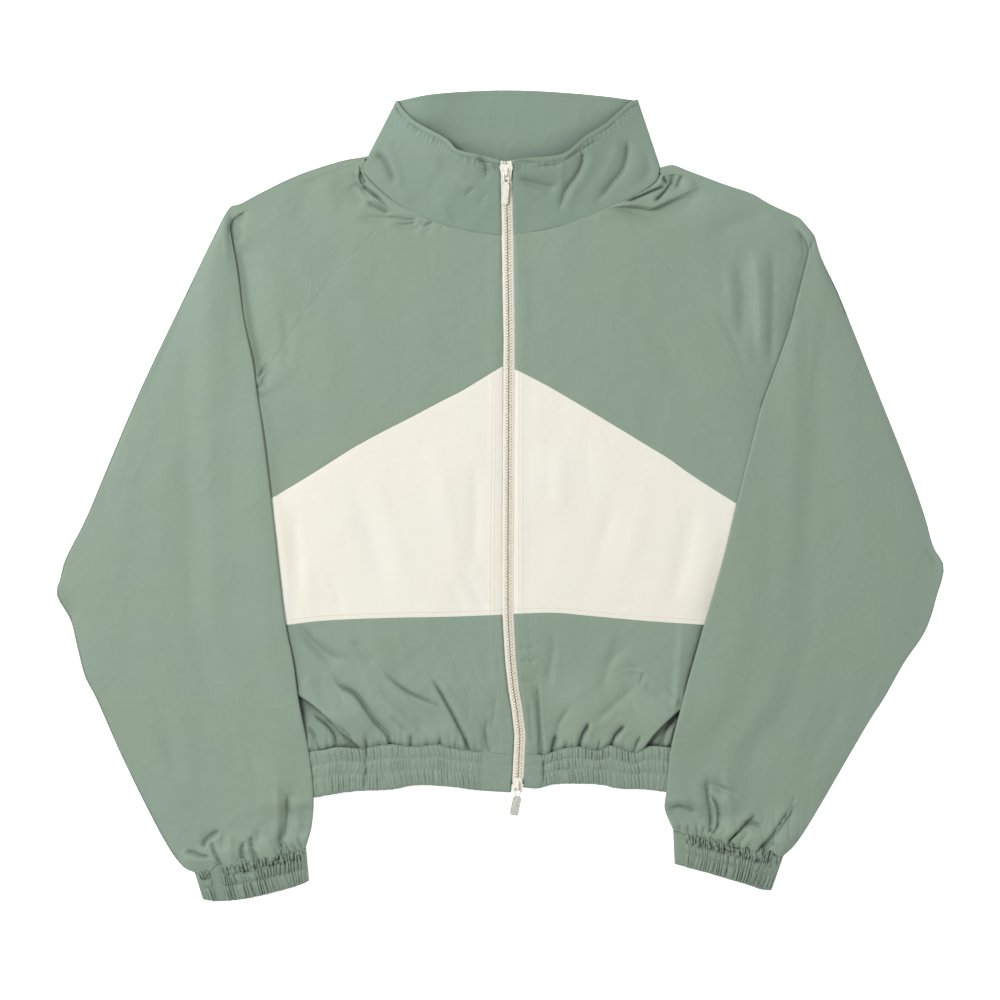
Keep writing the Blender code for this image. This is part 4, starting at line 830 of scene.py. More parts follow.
def ribs(u, t, seed):
    # u runs along the band, t across it from its seam to its folded edge
    z = np.zeros(np.shape(u))
    rows = band["rows"]
    for k, (top, bottom) in enumerate(zip(rows, rows[1:])):
        last = k == len(rows) - 2
        inside = (t >= top) & ((t <= bottom) if last else (t < bottom))
        s = (t - top) / (bottom - top)
        lean, long = band["lean"]
        phase = u / band["pitch"] + lean * (s - 0.5) * cloud(u, 0 * u, long, seed + 3 * k)
        for (much, long), shift in zip(band["wander"], (0, 1, k)):
            phase = phase + much * cloud(u, 0 * u, long, seed + shift)
        rise = np.abs(np.sin(pi * phase)) ** band["sharp"]
        other = np.abs(np.sin(pi * (0.5 * phase + 0.3 * k))) ** band["sharp"]
        strong = 0.60 + 0.40 * cloud(u, 20.0 * k + 0 * u, 13, seed + 2)
        arch = np.sqrt(np.clip(4 * s * (1 - s), 0, 1))
        if last:
            arch = np.where(s > 0.5, 0.45 + 0.55 * arch, arch)
        z = np.where(inside, band["deep"] * strong * (0.7 * rise + 0.45 * other - 0.6) * (0.35 + 0.65 * arch)
                     + band["channelPuff"] * arch, z)
    return z


def makeHemFront(side):
    cap = side.title()
    cols, start, seed, high, fold = band[side]
    rows = band["hemRows"]
    top, foot = through(outlines["hemTop" + cap], cols), through(outlines["hemFoot" + cap], cols)
    zipRun = zipEdge(side, top[-1][1], foot[-1][1], rows)
    top[-1], foot[-1] = zipRun[0], zipRun[-1]
    x, y = patch(sideSeam(side, top[0][1], foot[0][1], rows), zipRun, top, foot)
    t = np.linspace(0, 1, rows)[:, None] * np.ones(cols)[None]
    fromZip, roll = zipRoll(x, y)
    plain = smooth((fromZip - start) / 5)
    z = frontZ(x, y) + lay["bandLift"] + plain * ribs(np.abs(x), t, seed) * high
    z += (1 - plain) * (0.25 * cloud(x, y, 9, 51)
                        - band["stitchDip"] * sum(np.exp(-((t - k) / 0.03) ** 2) for k in band["rows"][1:3]))
    z -= np.clip(1 - (1 - t) / band["close"], 0, 1) ** 2
    z -= band["seamDip"] * plain * np.clip(1 - t / 0.06, 0, 1) ** 2 + roll
    y = y + plain * band["ruffle"] * cloud(x, 0 * x, band["rufflePitch"], 61) * smooth((t - 0.9) / 0.1)
    z += relief([fold], x, y)
    layCloth(f"hem_front_{side}", np.stack([x, y, z], axis=-1), band["wall"], "sage_band", "sage_band",
             flat=(1.25 * float(np.linalg.norm(top[-1] - top[0])) * mm, 0.048), held="gathered",
             rests_on=["hem_back"])


cuffs = {
    "left": {"top": [(-195, -353.5), (-222, -358), (-250, -365), (-285, -372), (-306, -378.5)],
             "foot": [(-192, -387), (-202, -391), (-230, -399), (-260, -405), (-283, -407),
                      (-298, -405.5)], "seed": 71, "plainEnd": (88, 99)},
    "right": {"top": [(174, -336), (197, -341), (227, -349), (257, -356), (284, -362)],
              "foot": [(175.5, -370), (204, -377.5), (242, -388.5), (262, -395), (272, -396.5)],
              "seed": 81, "plainEnd": (0, 12)},
    "low": 0.75, "high": 4.1, "crown": 0.7, "ribShare": 1.6, "ribShareBelow": 0.35,
    # crushed cloth beside the seam, and the share of the cuff that lies under the sleeve's edge
    "crush": 2.2, "crushSize": 3.4, "hidden": 0.08,
}


def makeCuff(side):
    spec, rows = cuffs[side], band["cuffRows"]
    top, foot = np.array(spec["top"]), np.array(spec["foot"])
    long = float(np.linalg.norm(top[-1] - top[0]))
    cols = int(long / band["cuffStep"])
    top, foot = through(top, cols), through(foot, cols)
    t = np.linspace(-cuffs["hidden"], 1, rows)[:, None]
    p = top[None] + (foot - top)[None] * t[..., None]
    s = np.linspace(0, 1, cols)[None] * np.ones(rows)[:, None]
    t = np.clip(t, 0, 1) * np.ones(cols)[None]
    across = s * long
    low, high = cuffs["low"], cuffs["high"]
    first, last = spec["plainEnd"]
    plain = 1 - smooth((across - first + 2) / 3) * smooth((last - across + 2) / 3)
    edge = np.sqrt(np.clip(1 - (2 * np.clip(np.abs(s - 0.5), 0, 0.5)) ** 8, 0, 1))
    crushed = np.abs(cloud(across + 6 * t, 34 * t, cuffs["crushSize"], spec["seed"] + 4)) - 0.35
    rib = plain * (ribs(across, t, spec["seed"]) + cuffs["crush"] * crushed * smooth((0.4 - t) / 0.1))
    close = np.clip(1 - (1 - t) / band["close"], 0, 1) ** 2
    middle = (low + high) / 2
    crown = cuffs["crown"] * np.sin(pi * s)
    upper = middle + (high - middle + crown + cuffs["ribShare"] * rib) * edge - close
    lower = middle - (middle - low) * edge + cuffs["ribShareBelow"] * np.clip(rib, 0, plain) * edge
    y = p[..., 1] + plain * band["ruffle"] * cloud(across, 0 * s, band["rufflePitch"], 63) * (t > 0.97)
    over, beneath = (np.stack([p[..., 0], y, z], axis=-1) for z in (upper, lower))
    layCloth(f"cuff_{side}", np.concatenate([over, beneath[:, 1:-1][:, ::-3]], axis=1), band["wall"],
             "cuff_band_painted_shade", "sage_band", ring=True, flat=(0.24, 0.05), held="gathered", rests_on=["floor"])


for make in (makeHemFront, makeCuff):
    for half in outward:
        make(half)
print("bands made")

# Rows run from the neck to the cuff. A shoulder row goes from the raglan seam over the shoulder
# fold to the back seam. A pleat row folds under at "under", comes back to "inner", the edge that
# shows, and goes over the top to "outer". An arm row is closed, its seam beneath.
sleeves = {
    "left": {
        "shoulder": [((-70, 276), (-131, 340.4), (-60, 327)), ((-116, 275), (-161, 334), (-88, 292)),
                     ((-150, 239), (-202, 321), (-116, 255)), ((-171, 215), (-242, 302), (-140, 225)),
                     ((-187, 194), (-273, 285), (-162, 194))],
        "pleat": [((-193, 185), (-273, 270), (-271, 268), (-279.5, 275), (-171, 183)),
                  ((-200, 175), (-277, 252), (-268, 253), (-288, 255), (-180, 170)),
                  ((-217, 150), (-282, 195), (-260, 198), (-316, 199), (-203, 140)),
                  ((-232, 125), (-284, 145), (-251, 150), (-340, 149), (-228, 107)),
                  ((-243, 103), (-285, 97), (-243, 102), (-363, 100), (-250, 79))],
        "arm": [((-281, 45), (-236, 52), (-386, 44)), ((-279, -15), (-228, -17), (-413, -18)),
                ((-277, -92), (-219, -99), (-445, -99)), ((-269, -165), (-208, -167), (-419, -170)),
                ((-256, -205), (-202, -205), (-406, -208)), ((-227, -245), (-194, -247), (-387, -247)),
                ((-214, -285), (-188, -287), (-367, -287)), ((-214, -317), (-187, -317), (-351, -317)),
                ((-217, -337), (-190, -334), (-337, -346)), ((-219, -350), (-191, -344), (-323, -367)),
                ((-221, -359.5), (-195, -353.5), (-306, -378.5))],
        "folds": [
            (-3.6, 1.5, 2.0, .25, .03, [(-256, -346), (-259, -356), (-261, -371)]),
            (-3.4, 1.4, 1.7, .25, .03, [(-249.4, -340), (-248.6, -354), (-246.6, -368)]),
            (2.0, 4, 4, .3, .1, [(-268, -336), (-271, -352), (-272, -372)]),
            (1.9, 2.4, 2.4, .3, .1, [(-254.5, -352), (-254.4, -366)]),
            (1.6, 5, 5, .3, .1, [(-238, -328), (-234, -348), (-234, -368)]),
            (-1.3, 2.4, 3.4, .35, .2, [(-241, -333), (-243, -345), (-245, -356)]),
            (-4.2, 1.7, 3.4, .15, .05, [(-213.5, -298), (-212.4, -314), (-212.4, -325), (-215, -336),
                (-219.2, -345), (-220.5, -360)]),
            (2.4, 6, 3, .2, .2, [(-205, -304), (-203, -322), (-204, -342)]),
            (2.6, 2.6, 6, .2, .2, [(-223, -300), (-222, -324), (-226, -350)]),
            (-2.0, 1.6, 1.8, .2, .1, [(-218.4, -347), (-213.7, -355), (-210, -365)]),
            (2.6, 2.2, 3.4, .2, .3, [(-227, -301), (-222, -291.5), (-213, -289), (-203, -295),
                (-194, -303)]),
            (-2.2, 2.0, 2.4, .2, .3, [(-222, -299), (-214, -294.6), (-206, -300), (-198, -307)]),
            (-3.4, 1.5, 2.4, .2, .15, [(-281, -336), (-288, -341), (-294.5, -346.5), (-298, -354)]),
            (2.0, 3.4, 2.2, .25, .2, [(-277, -340), (-284, -345), (-289, -352), (-288, -362)]),
            (-3.4, 1.5, 1.7, .2, .05, [(-290, -346), (-287, -356), (-282.6, -366), (-279, -374)]),
            (-0.9, 1.5, 1.5, .3, .2, [(-278, -335), (-277.8, -346), (-277.6, -356)]),
            (-2.8, 1.4, 1.9, .25, .2, [(-317, -357.4), (-306.6, -358.6), (-298.6, -362), (-290, -363.4)]),
            (1.6, 2.6, 2.6, .25, .2, [(-316, -363), (-304, -366), (-294, -369)]),
            (1.2, 5, 5, .4, .3, [(-306, -322), (-302, -338), (-304, -350)]),
            (-1.8, 1.6, 1.8, .3, .1, [(-203, -340), (-200.6, -349), (-200, -358)]),
            (-1.6, 1.5, 1.6, .3, .1, [(-209, -346), (-206.6, -353), (-206, -363)]),
            (-1.5, 1.6, 1.6, .4, .03, [(-229, -352), (-228.6, -370)]),
            (1.2, 16, 18, .4, .4, [(-300, 150), (-330, 40), (-345, -60), (-335, -150)]),
            (1.0, 14, 14, .4, .4, [(-258, 60), (-262, -60), (-255, -170), (-240, -250)]),
            (-1.0, 16, 16, .4, .4, [(-290, 60), (-300, -60), (-295, -160), (-280, -260)]),
            (0.9, 9, 9, .4, .4, [(-330, -190), (-310, -250), (-298, -300)]),
            (-0.9, 8, 8, .4, .4, [(-350, -190), (-330, -250), (-312, -310)]),
            (-1.2, 6, 6, .4, .4, [(-343, -240), (-330, -262), (-322, -282)]),
            (0.8, 6, 6, .4, .4, [(-262, -230), (-256, -275), (-250, -315)]),
            (0.5, 5, 5, .4, .4, [(-318, 110), (-302, 104), (-290, 96)]),
            (-1.3, 3, 2.4, .2, .3, [(-443, -97), (-434, -108), (-428, -122)]),
            (0.9, 3, 4, .2, .3, [(-441, -84), (-433, -98), (-426, -112)]),
            (1.2, 3, 3, .2, .3, [(-279, 272), (-275, 250), (-273, 230)]),
            (-1.0, 6, 4, .3, .4, [(-262, 200), (-256, 176), (-250, 150)]),
        ],
        "seed": 101,
    },
    "right": {
        "shoulder": [((92, 281), (161.4, 327), (80, 326.8)), ((135, 268), (190, 325), (112, 292)),
                     ((160, 237), (227, 311), (140, 255)), ((182, 211), (265, 296), (164, 225)),
                     ((200, 185), (300, 278), (186, 194))],
        "pleat": [((208, 174), (304, 259), (306, 257), (312, 262), (195, 182)),
                  ((216, 163), (313, 243), (309.8, 244), (321, 243), (204, 170)),
                  ((233, 138), (314, 193), (297, 192), (342, 195), (227, 140)),
                  ((247, 114), (306, 147), (284, 148), (361, 147), (250, 107)),
                  ((260, 90), (298, 95), (264, 93), (382, 95), (268, 79))],
        "arm": [((284, 45), (250, 43), (403, 43)), ((281, -15), (236, -13), (424, -17)),
                ((279, -85), (216, -87), (445, -73)), ((278, -123), (206, -123), (432, -123)),
                ((271, -165), (195, -164), (411, -162)), ((259, -205), (184, -205), (384, -205)),
                ((229, -245), (174, -242), (362, -241)), ((216, -280), (168, -278), (341, -276)),
                ((214, -305), (166, -307), (322, -309)), ((208, -325), (169, -325), (304, -338)),
                ((205, -337), (172, -331), (294, -353)), ((205, -343), (174, -336), (284, -362))],
        "folds": [
            (-3.6, 1.5, 2.4, .35, .04, [(207, -276), (208.6, -300), (211.6, -320), (211.8, -340)]),
            (-3.8, 1.7, 1.5, .2, .04, [(210, -299), (217.6, -311), (219.4, -326), (214.4, -343)]),
            (-2.6, 5, 7, .3, .4, [(206, -283), (216, -292), (232, -300)]),
            (2.2, 2.4, 1.8, .3, .3, [(204, -270), (213, -282), (236, -297)]),
            (1.6, 5, 6, .3, .2, [(226, -286), (230, -304), (231, -326), (228, -342)]),
            (2.0, 6, 5, .3, .2, [(192, -282), (199, -300), (199, -326)]),
            (-3.0, 2.0, 2.4, .3, .3, [(168, -314), (180.7, -312.4), (191.5, -315.4), (200, -320.6)]),
            (1.5, 4, 4, .3, .3, [(168, -306), (182, -304), (194, -307)]),
            (1.4, 3, 3, .3, .3, [(172, -320), (184, -322), (194, -326)]),
            (1.8, 5, 6, .3, .3, [(203, -272), (218, -284), (236, -296)]),
            (-1.6, 4, 4, .3, .3, [(210, -284), (226, -296), (240, -304)]),
            (-1.7, 1.7, 1.7, .4, .03, [(197, -326), (199, -345)]),
            (-1.9, 1.7, 1.7, .4, .03, [(188, -328), (189, -342)]),
            (-1.6, 1.7, 1.7, .4, .03, [(180, -328), (180.6, -342)]),
            (-1.6, 1.6, 1.6, .4, .03, [(204.6, -330), (205.6, -345)]),
            (-3.4, 1.5, 1.8, .15, .1, [(257.5, -320.4), (247, -328.8), (239, -337), (230, -348.4)]),
            (-3.0, 1.4, 2.0, .1, .3, [(245, -328), (255, -329), (264, -333)]),
            (-3.6, 1.4, 1.7, .3, .05, [(293.6, -310), (286, -322), (281, -329.6), (271.3, -343.4),
                (260, -355)]),
            (-2.6, 3, 3, .3, .2, [(276, -348), (268, -353), (261, -358)]),
            (-1.9, 2.0, 2.4, .3, .1, [(250, -334), (246, -343), (240, -352)]),
            (-1.2, 1.8, 1.8, .3, .4, [(296, -300), (293, -311), (292, -322)]),
            (1.2, 2.0, 3.2, .3, .3, [(381, -184), (377, -206), (373, -222)]),
            (-1.9, 2.6, 5, .2, .3, [(436, -50), (436, -61), (443, -72)]),
            (1.1, 14, 16, .4, .4, [(330, 160), (350, 60), (358, -60), (340, -160)]),
            (-0.9, 14, 14, .4, .4, [(300, 60), (300, -60), (280, -170), (260, -250)]),
            (0.9, 12, 12, .4, .4, [(262, 20), (255, -80), (232, -190)]),
            (0.9, 8, 10, .4, .4, [(330, -180), (300, -240), (276, -300)]),
            (-0.9, 8, 8, .4, .4, [(352, -190), (322, -250), (300, -300)]),
            (0.6, 3, 3, .4, .4, [(270, -8), (282, -20), (290, -34)]),
            (0.5, 3, 3, .4, .4, [(306, -60), (312, -76), (314, -96)]),
            (-2.4, 1.5, 1.5, .1, .1, [(317, 261), (313.6, 252.4), (310.8, 245.4)]),
            (1.8, 10, 2.2, 6, .1, .2, [(225, -353), (232, -344.5), (239, -337), (247, -329),
                (258, -321.5)]),
            (2.0, 11, 2.4, 6, .1, .3, [(257, -358), (268, -348), (276.5, -339), (283.5, -329.5),
                (290, -320), (298, -306)]),
        ],
        "seed": 131,
    },
    # rows along the outer edge, up to a length and with a step; then a plain arm and the cuff
    "wall": 0.8, "steps": ((34, 0.75), (66, 1.6), (140, 4.0), (200, 2.4), (330, 4.5)),
    "step": 8.0, "cuffStep": 1.5, "cuffReach": 90.0,
    "first": 58, "second": 3, "arc": 5, "top": 104, "below": 8, "edgeRadius": 1.5,
    "outerRadius": 1.35, "underShare": 0.93, "innerShare": 0.945, "neckFade": 22.0, "slack": 0.3,
    "gatherHigh": 1.4, "puff": 2.6, "puffAt": 16.0, "puffReach": 18.0, "overhang": 2.2,
}


def makeSleeve(side):
    cap, spec, away = side.title(), sleeves[side], outward[side]
    innerPath, outerPath = pathOf(outlines["inner" + cap]), pathOf(outlines["outer" + cap])
    raglan = pathOf(outlines["raglan" + cap])
    # every row as start, under, inner, outer, back, and its kind: shoulder, pleat or arm
    table = []
    for start, outer, back in spec["shoulder"]:
        start, outer = np.array(start, float), np.array(outer, float)
        under, inner = (start + sleeves[share] * (outer - start) for share in ("underShare", "innerShare"))
        table.append((start, under, inner, outer, back, (1, 0, 0)))
    table += [(*row, (0, 1, 0)) for row in spec["pleat"]]
    table += [((u[0] - away * 3, u[1]), u, i, o, (u[0] + away * 0.9, u[1]), (0, 0, 1))
              for u, i, o in spec["arm"]]
    start, under, inner, outer, back, kind = (np.array(column, float) for column in zip(*table))
    at = np.array([lengthAt(outerPath, q) for q in outer])
    raglanAt = np.array([raglan[1][-1] if k[2] else lengthAt(raglan, q) for q, k in zip(start, kind)])
    innerAt = np.array([0.0 if k[0] else lengthAt(innerPath, q) for q, k in zip(inner, kind)])
    ends, reach = at[-1], sleeves["cuffReach"]
    runs, low = [], 0.0
    for high, step in sleeves["steps"]:
        runs.append(np.arange(low, high - 0.3 * step, step))
        low = high
    v = np.concatenate(runs + [np.arange(low, ends - reach - 1, sleeves["step"]),
                               np.linspace(ends - reach, ends, int(reach / sleeves["cuffStep"]))])
    v[0] = at[0]

    def between(values):
        return np.interp(v, at, values) if values.ndim == 1 else atLength((values, at), v)

    nShoulder = len(spec["shoulder"])
    nFolded = nShoulder + len(spec["pleat"])
    start = np.where((v <= at[nFolded - 1])[:, None], atLength(raglan, between(raglanAt)), between(start))
    inner = np.where((v >= at[nShoulder])[:, None], atLength(innerPath, between(innerAt)), between(inner))
    outer = atLength(outerPath, v)
    under, back, kind = between(under), between(back), between(kind)
    k = smooth((v - at[nShoulder - 1]) / (at[nShoulder + 1] - at[nShoulder - 1]))
    way = (outer - inner) / np.linalg.norm(outer - inner, axis=1)[:, None]
    radius = (sleeves["edgeRadius"] * k + 0.02)[:, None]
    slack = sleeves["slack"] * (1 - k)[:, None]

    def line(a, b, shares):
        return a[:, None] + (b - a)[:, None] * np.asarray(shares)[None, :, None]

    # finer beside the raglan seam and beside the sleeve's fold
    even = np.linspace(0, 1, sleeves["first"])
    even = 0.45 * even + 0.55 * (0.5 - 0.5 * np.cos(pi * even))
    firstP = line(start, under, even)
    # the neck seam's own curve, fading into straight rows
    seam = evenly(through(outlines["neck" + cap][:5][::-1], 120), 120)
    along = sleeves["underShare"] * even
    straight = start[0] + (outer[0] - start[0]) * along[:, None]
    fade = (1 - smooth((v - v[0]) / sleeves["neckFade"]))[:, None, None]
    firstP = firstP + (atLength((seam, np.linspace(0, 1, 120)), along) - straight)[None] * fade
    tail = firstP[:, -1] - under
    under, inner = under + tail, inner + tail
    turn = np.linspace(-pi / 2, pi / 2, sleeves["arc"])
    stairs = (np.arange(sleeves["second"]) + 0.5) / sleeves["second"]
    secondP = line(under, inner + way * radius, stairs)
    arcP = (inner[:, None] + way[:, None] * (radius * (1 - np.cos(turn)))[..., None]
            + way[:, None] * (slack * np.arange(sleeves["arc"]))[..., None])
    # finer near both edges
    share = np.linspace(0, 1, sleeves["top"] + 1)[1:]
    share = share - 0.02 * np.sin(2 * pi * share)
    outerRadius = sleeves["outerRadius"]
    topP = line(arcP[:, -1], outer - way * outerRadius, share)
    foldP = outer[:, None] - way[:, None] * (outerRadius * (1 - np.cos(turn)))[None, :, None]
    belowP = line(outer - way * outerRadius, back, np.linspace(0, 1, sleeves["below"] + 1)[1:])

    def xy(p):
        return p[..., 0], p[..., 1]

    inShoulder, inPleat, inArm = (kind[:, j][:, None] for j in range(3))
    z0 = frontZ(*xy(start))[:, None]
    whole = np.linalg.norm(outer - start, axis=1)[:, None]

    def shoulderZ(p):
        s = np.linalg.norm(p - start[:, None], axis=-1) / whole
        return z0 + (lay["shoulderFold"] - z0) * smooth(s)

    pitch = lay["pitch"]
    detail = bodyDetail(*xy(firstP))
    seams = seamDip(raglan[0], 60, *xy(firstP)) + seamDip(seam, 30, *xy(firstP))
    edgeFade = smooth((sleeves["underShare"] * whole - np.linalg.norm(firstP - start[:, None], axis=-1)) / 4)
    underStart = underZ(*xy(under))[:, None]
    firstZ = (inShoulder * (shoulderZ(firstP) + detail * edgeFade)
              + inPleat * (frontZ(*xy(firstP)) + detail)
              + inArm * np.maximum(underStart - pitch, lay["flat"]) + seams * (inShoulder + inPleat))
    lift = np.maximum(lay["flat"] - (underStart - pitch), 0)
    secondZ = (inShoulder * shoulderZ(secondP)
               + inPleat * (frontZ(*xy(secondP)) + pitch * (0.75 + 0.5 * stairs)[None])
               + inArm * (underZ(*xy(secondP)) + lift))
    bulge = lay["bulge"] * (1 - np.abs(2 * share[None] - 1) ** 3)
    plainTop = underZ(*xy(topP)) + pitch + bulge
    stack = frontZ(*xy(topP)) + 2 * pitch
    pastFold = (np.abs(under[:, 0])[:, None] + 3 - np.abs(topP[..., 0])) / 16 + 1
    pleatTop = plainTop + np.maximum(stack - plainTop, 0) * smooth(pastFold)
    reachIn = np.linalg.norm(topP - inner[:, None], axis=-1)
    armTop = plainTop + np.maximum(secondZ[:, -1:] + pitch - plainTop, 0) * np.exp(-(reachIn / 14) ** 2)
    topZ = inShoulder * shoulderZ(topP) + inPleat * pleatTop + inArm * armTop
    # folds and gathers of the upper layer
    x, y = xy(topP)
    seed = spec["seed"]
    fromCuff = (ends - v)[:, None]
    rim = smooth(np.linalg.norm(topP - outer[:, None], axis=-1) / 8) * smooth(reachIn / 5 + 0.3)
    lively = smooth((90 - fromCuff) / 80)
    soft = relief(spec["folds"], x, y)
    soft += 0.7 * cloud(x, y * 0.35, 40, seed) + 0.35 * cloud(x * 0.9 + 0.2 * y, y * 0.4, 17, seed + 1)
    soft += lively * 0.6 * cloud(x, y * 0.45, 13, seed + 2)
    soft += (1.0 + 1.0 * lively) * crumple(x, y, seed + 9)
    soft += 1.5 * lively * creased(x, y, 13, seed + 31) + 0.5 * creased(x, y, 44, seed + 34)
    topSpan = np.linalg.norm(outer - inner, axis=1)[:, None] * share[None]
    soft += gather(topSpan, fromCuff, seed + 5, sleeves["gatherHigh"])
    soft += sleeves["puff"] * np.exp(-((fromCuff - sleeves["puffAt"]) / sleeves["puffReach"]) ** 2)
    topZ = topZ + soft * rim * (inPleat * k[:, None] + inArm)
    seat = cuffs["high"] + band["wall"]
    tuck = np.sqrt(np.clip(1 - np.clip(1 - fromCuff / 8, 0, 1) ** 2, 0, 1))
    topZ = np.where(fromCuff < 8, seat + (topZ - seat) * tuck, topZ)
    # the gathered edge over the cuff
    edge = through(outlines["cuffEdge" + cap], 240)
    ease = (smooth(1 - fromCuff / 26) * np.sin(pi * share[None]) ** 0.3)[..., None]
    topP = topP + (atLength((edge, np.linspace(0, 1, 240)), share) - topP[-1])[None] * ease
    topP[..., 1] -= sleeves["overhang"] * smooth(1 - fromCuff / 9) * np.sin(pi * share[None]) ** 0.5

    def turned(a, b, turn):
        return (a + b) / 2 + (b - a) / 2 * np.sin(turn)[None]

    shareUp = np.interp(v, [at[nFolded - 1], at[nFolded + 1]], [0, 1])[:, None]
    belowZ = lay["flat"] + shareUp * (underZ(*xy(belowP)) - lay["flat"])
    plan = np.concatenate([firstP, secondP, arcP, topP, foldP, belowP], axis=1)
    height = np.concatenate([firstZ, secondZ, turned(secondZ[:, -1:], topZ[:, :1], turn), topZ,
                             turned(lay["flat"], topZ[:, -1:], turn[::-1]), belowZ], axis=1)
    height = np.maximum(height, sleeves["wall"] / 2 + 0.02)
    layCloth(f"sleeve_{side}", np.concatenate([plan, height[..., None]], axis=-1), sleeves["wall"],
             "sage_nylon", "sage_nylon", flat=(0.56, 0.75), held="folded",
             rests_on=["front_upper_" + side], area=0.31)


for half in outward:
    makeSleeve(half)
print("sleeves made")

back = {
    "wall": 0.9, "rows": 56, "cols": 49, "sides": (-210, 212), "foot": -257.0,
    "neck": [(-60, 327), (-20, 326.4), (30, 326.2), (80, 326.8)],
    "band": 1.0, "bandRows": 14, "bandCols": 210,
    "bandFoot": [(-206, -299), (-147, -294), (-86, -288), (0, -291), (76, -287), (118, -291),
                 (207, -297)],
}


def level(y, count):
    return np.stack([np.linspace(*back["sides"], count), np.full(count, y)], axis=-1)


def makeBack():
    edges = {}
    for side in outward:
        spec = sleeves[side]
        seam = [row[2] for row in spec["shoulder"]] + [row[4] for row in spec["pleat"]]
        seam += [tuple(q) for q in sideSeam(side, lay["sideY"][0], back["foot"], 7)]
        edges[side] = evenly(np.array(seam, float), back["rows"])
    cols = back["cols"]
    x, y = patch(edges["left"], edges["right"], through(back["neck"], cols), level(back["foot"], cols))
    away = y - back["foot"]
    dents = 0.25 + 0.25 * cloud(x, y * 0.4, 55, 201) + 0.2 * np.abs(cloud(x + 0.4 * y, y * 0.5, 24, 202))
    dents += 0.45 * np.abs(np.sin(pi * (x / 13 + cloud(x, 0 * x, 31, 203)))) * np.exp(-(away / 22) ** 2)
    z = back["wall"] / 2 + np.clip(dents, 0, 1.0) * smooth(away / 6)
    layCloth("back_panel", np.stack([x, y, z], axis=-1), back["wall"], "sage_nylon", "sage_nylon",
             flat=(0.56, 0.59), held="laid", rests_on=["floor"], area=0.29)
    rows, cols = back["bandRows"], back["bandCols"]
    top, foot = level(back["foot"] - 0.3, cols), through(back["bandFoot"], cols)
    x, y = patch(*(evenly(np.array([top[k], foot[k]]), rows) for k in (0, -1)), top, foot)
    t = np.linspace(0, 1, rows)[:, None] * np.ones(cols)[None]
    z = back["band"] / 2 + 1.25 - np.clip(0.6 * ribs(x + 300, t, 211), -0.2, 1.2)
    layCloth("hem_back", np.stack([x, y, np.maximum(z, back["band"] / 2)], axis=-1), back["band"],
             "sage_band", "sage_band", flat=(0.44, 0.044), held="gathered", rests_on=["floor"])


makeBack()
print("back made")

collar = {
    "wall": 1.5, "front": 104, "back": 44, "rows": 56, "arc": 5, "ridgeShare": 0.75,
    "folds": [
        (-2.2, 1.4, 3.4, .15, .3, [(-125.5, 343), (-116.7, 338), (-111, 328.2), (-107.2, 319),
            (-104.4, 309)]),
        (1.7, 5, 3.4, .2, .25, [(-117, 350), (-108, 337), (-103, 322), (-99, 306)]),
        (-0.8, 4, 4, .4, .4, [(-57, 292), (-48, 282), (-42, 272), (-36, 266)]),
        (1.2, 5, 4, .3, .2, [(-66, 296), (-57, 284), (-50, 274)]),
        (-1.0, 1.4, 1.8, .3, .3, [(-36, 298), (-30, 304), (-25, 308)]),
        (0.8, 4, 3, .3, .3, [(-38, 303), (-30, 310), (-22, 313)]),
        (-2.6, 2.2, 3.6, .2, .4, [(-23, 338), (-15, 331), (-13, 322), (-13, 313)]),
        (1.3, 5, 4, .3, .4, [(-33, 335), (-25, 325), (-22, 311)]),
        (-0.7, 1.6, 2.0, .3, .3, [(-25, 288), (-18, 296), (-12, 303)]),
        (-2.4, 3, 5, .3, .2, [(15, 317), (30, 313), (45, 309.6), (59, 308)]),
        (1.5, 5, 4, .3, .2, [(14, 325), (32, 321), (50, 320), (60, 317)]),
        (1.4, 3, 4, .2, .3, [(16, 309), (32, 304), (48, 301)]),
        (2.0, 2.4, 2.4, .2, .3, [(64, 336), (61, 320), (61, 304)]),
        (-2.6, 1.5, 2.6, .1, .25, [(83, 346), (82, 332), (76, 319), (67, 307), (62.6, 296), (60, 281)]),
        (2.1, 5, 3, .2, .2, [(92, 346), (90, 330), (82, 315), (73, 302), (67, 286)]),
        (-2.6, 1.6, 3.0, .15, .3, [(128.4, 358), (127.5, 341), (123, 325.5), (113, 313), (102.6, 300.3),
            (93, 290)]),
        (2.0, 5, 5, .2, .3, [(118, 362), (116, 344), (110, 328), (100, 313), (88, 298)]),
        (1.4, 6, 6, .2, .3, [(139, 352), (138, 334), (130, 318), (116, 303)]),
        (-1.0, 5, 5, .3, .3, [(148, 344), (149, 326), (140, 308)]),
        (0.9, 8, 8, .4, .4, [(-84, 352), (-70, 336), (-62, 314)]),
        (-0.9, 8, 8, .4, .4, [(-64, 344), (-50, 326), (-44, 306)]),
        (-0.9, 1.5, 1.5, .2, .4, [(12, 330), (22, 332.5), (36, 331)]),
        (1.6, 2.4, 2.0, .2, .2, [(24, 330), (44, 332), (62, 335), (72, 343), (88, 354), (106, 364)]),
        (-0.9, 1.4, 1.4, .2, .2, [(30, 327), (46, 328.6), (60, 331), (72, 338.6), (88, 349), (104, 358)]),
    ],
    "hollowShare": 1.15, "crumple": 0.9, "zipBlend": 6.0, "footDip": 0.5,
    "foldOut": 1.2, "foldLow": 0.2, "backHigh": 76.0, "cornerRise": 5.0, "cornerAt": 0.13,
    # along the top edge, of a run of 160 mm a half: its roll, its stitches and the puckers below
    "edgeRun": 160.0, "roll": 0.55, "rollAt": 2.4, "rollWidth": 2.6, "stitchRow": 5.0,
    "stitchWidth": 0.9, "pucker": 0.48, "puckerAt": 7.5, "puckerReach": 4.0, "puckerPitch": 2.6,
}


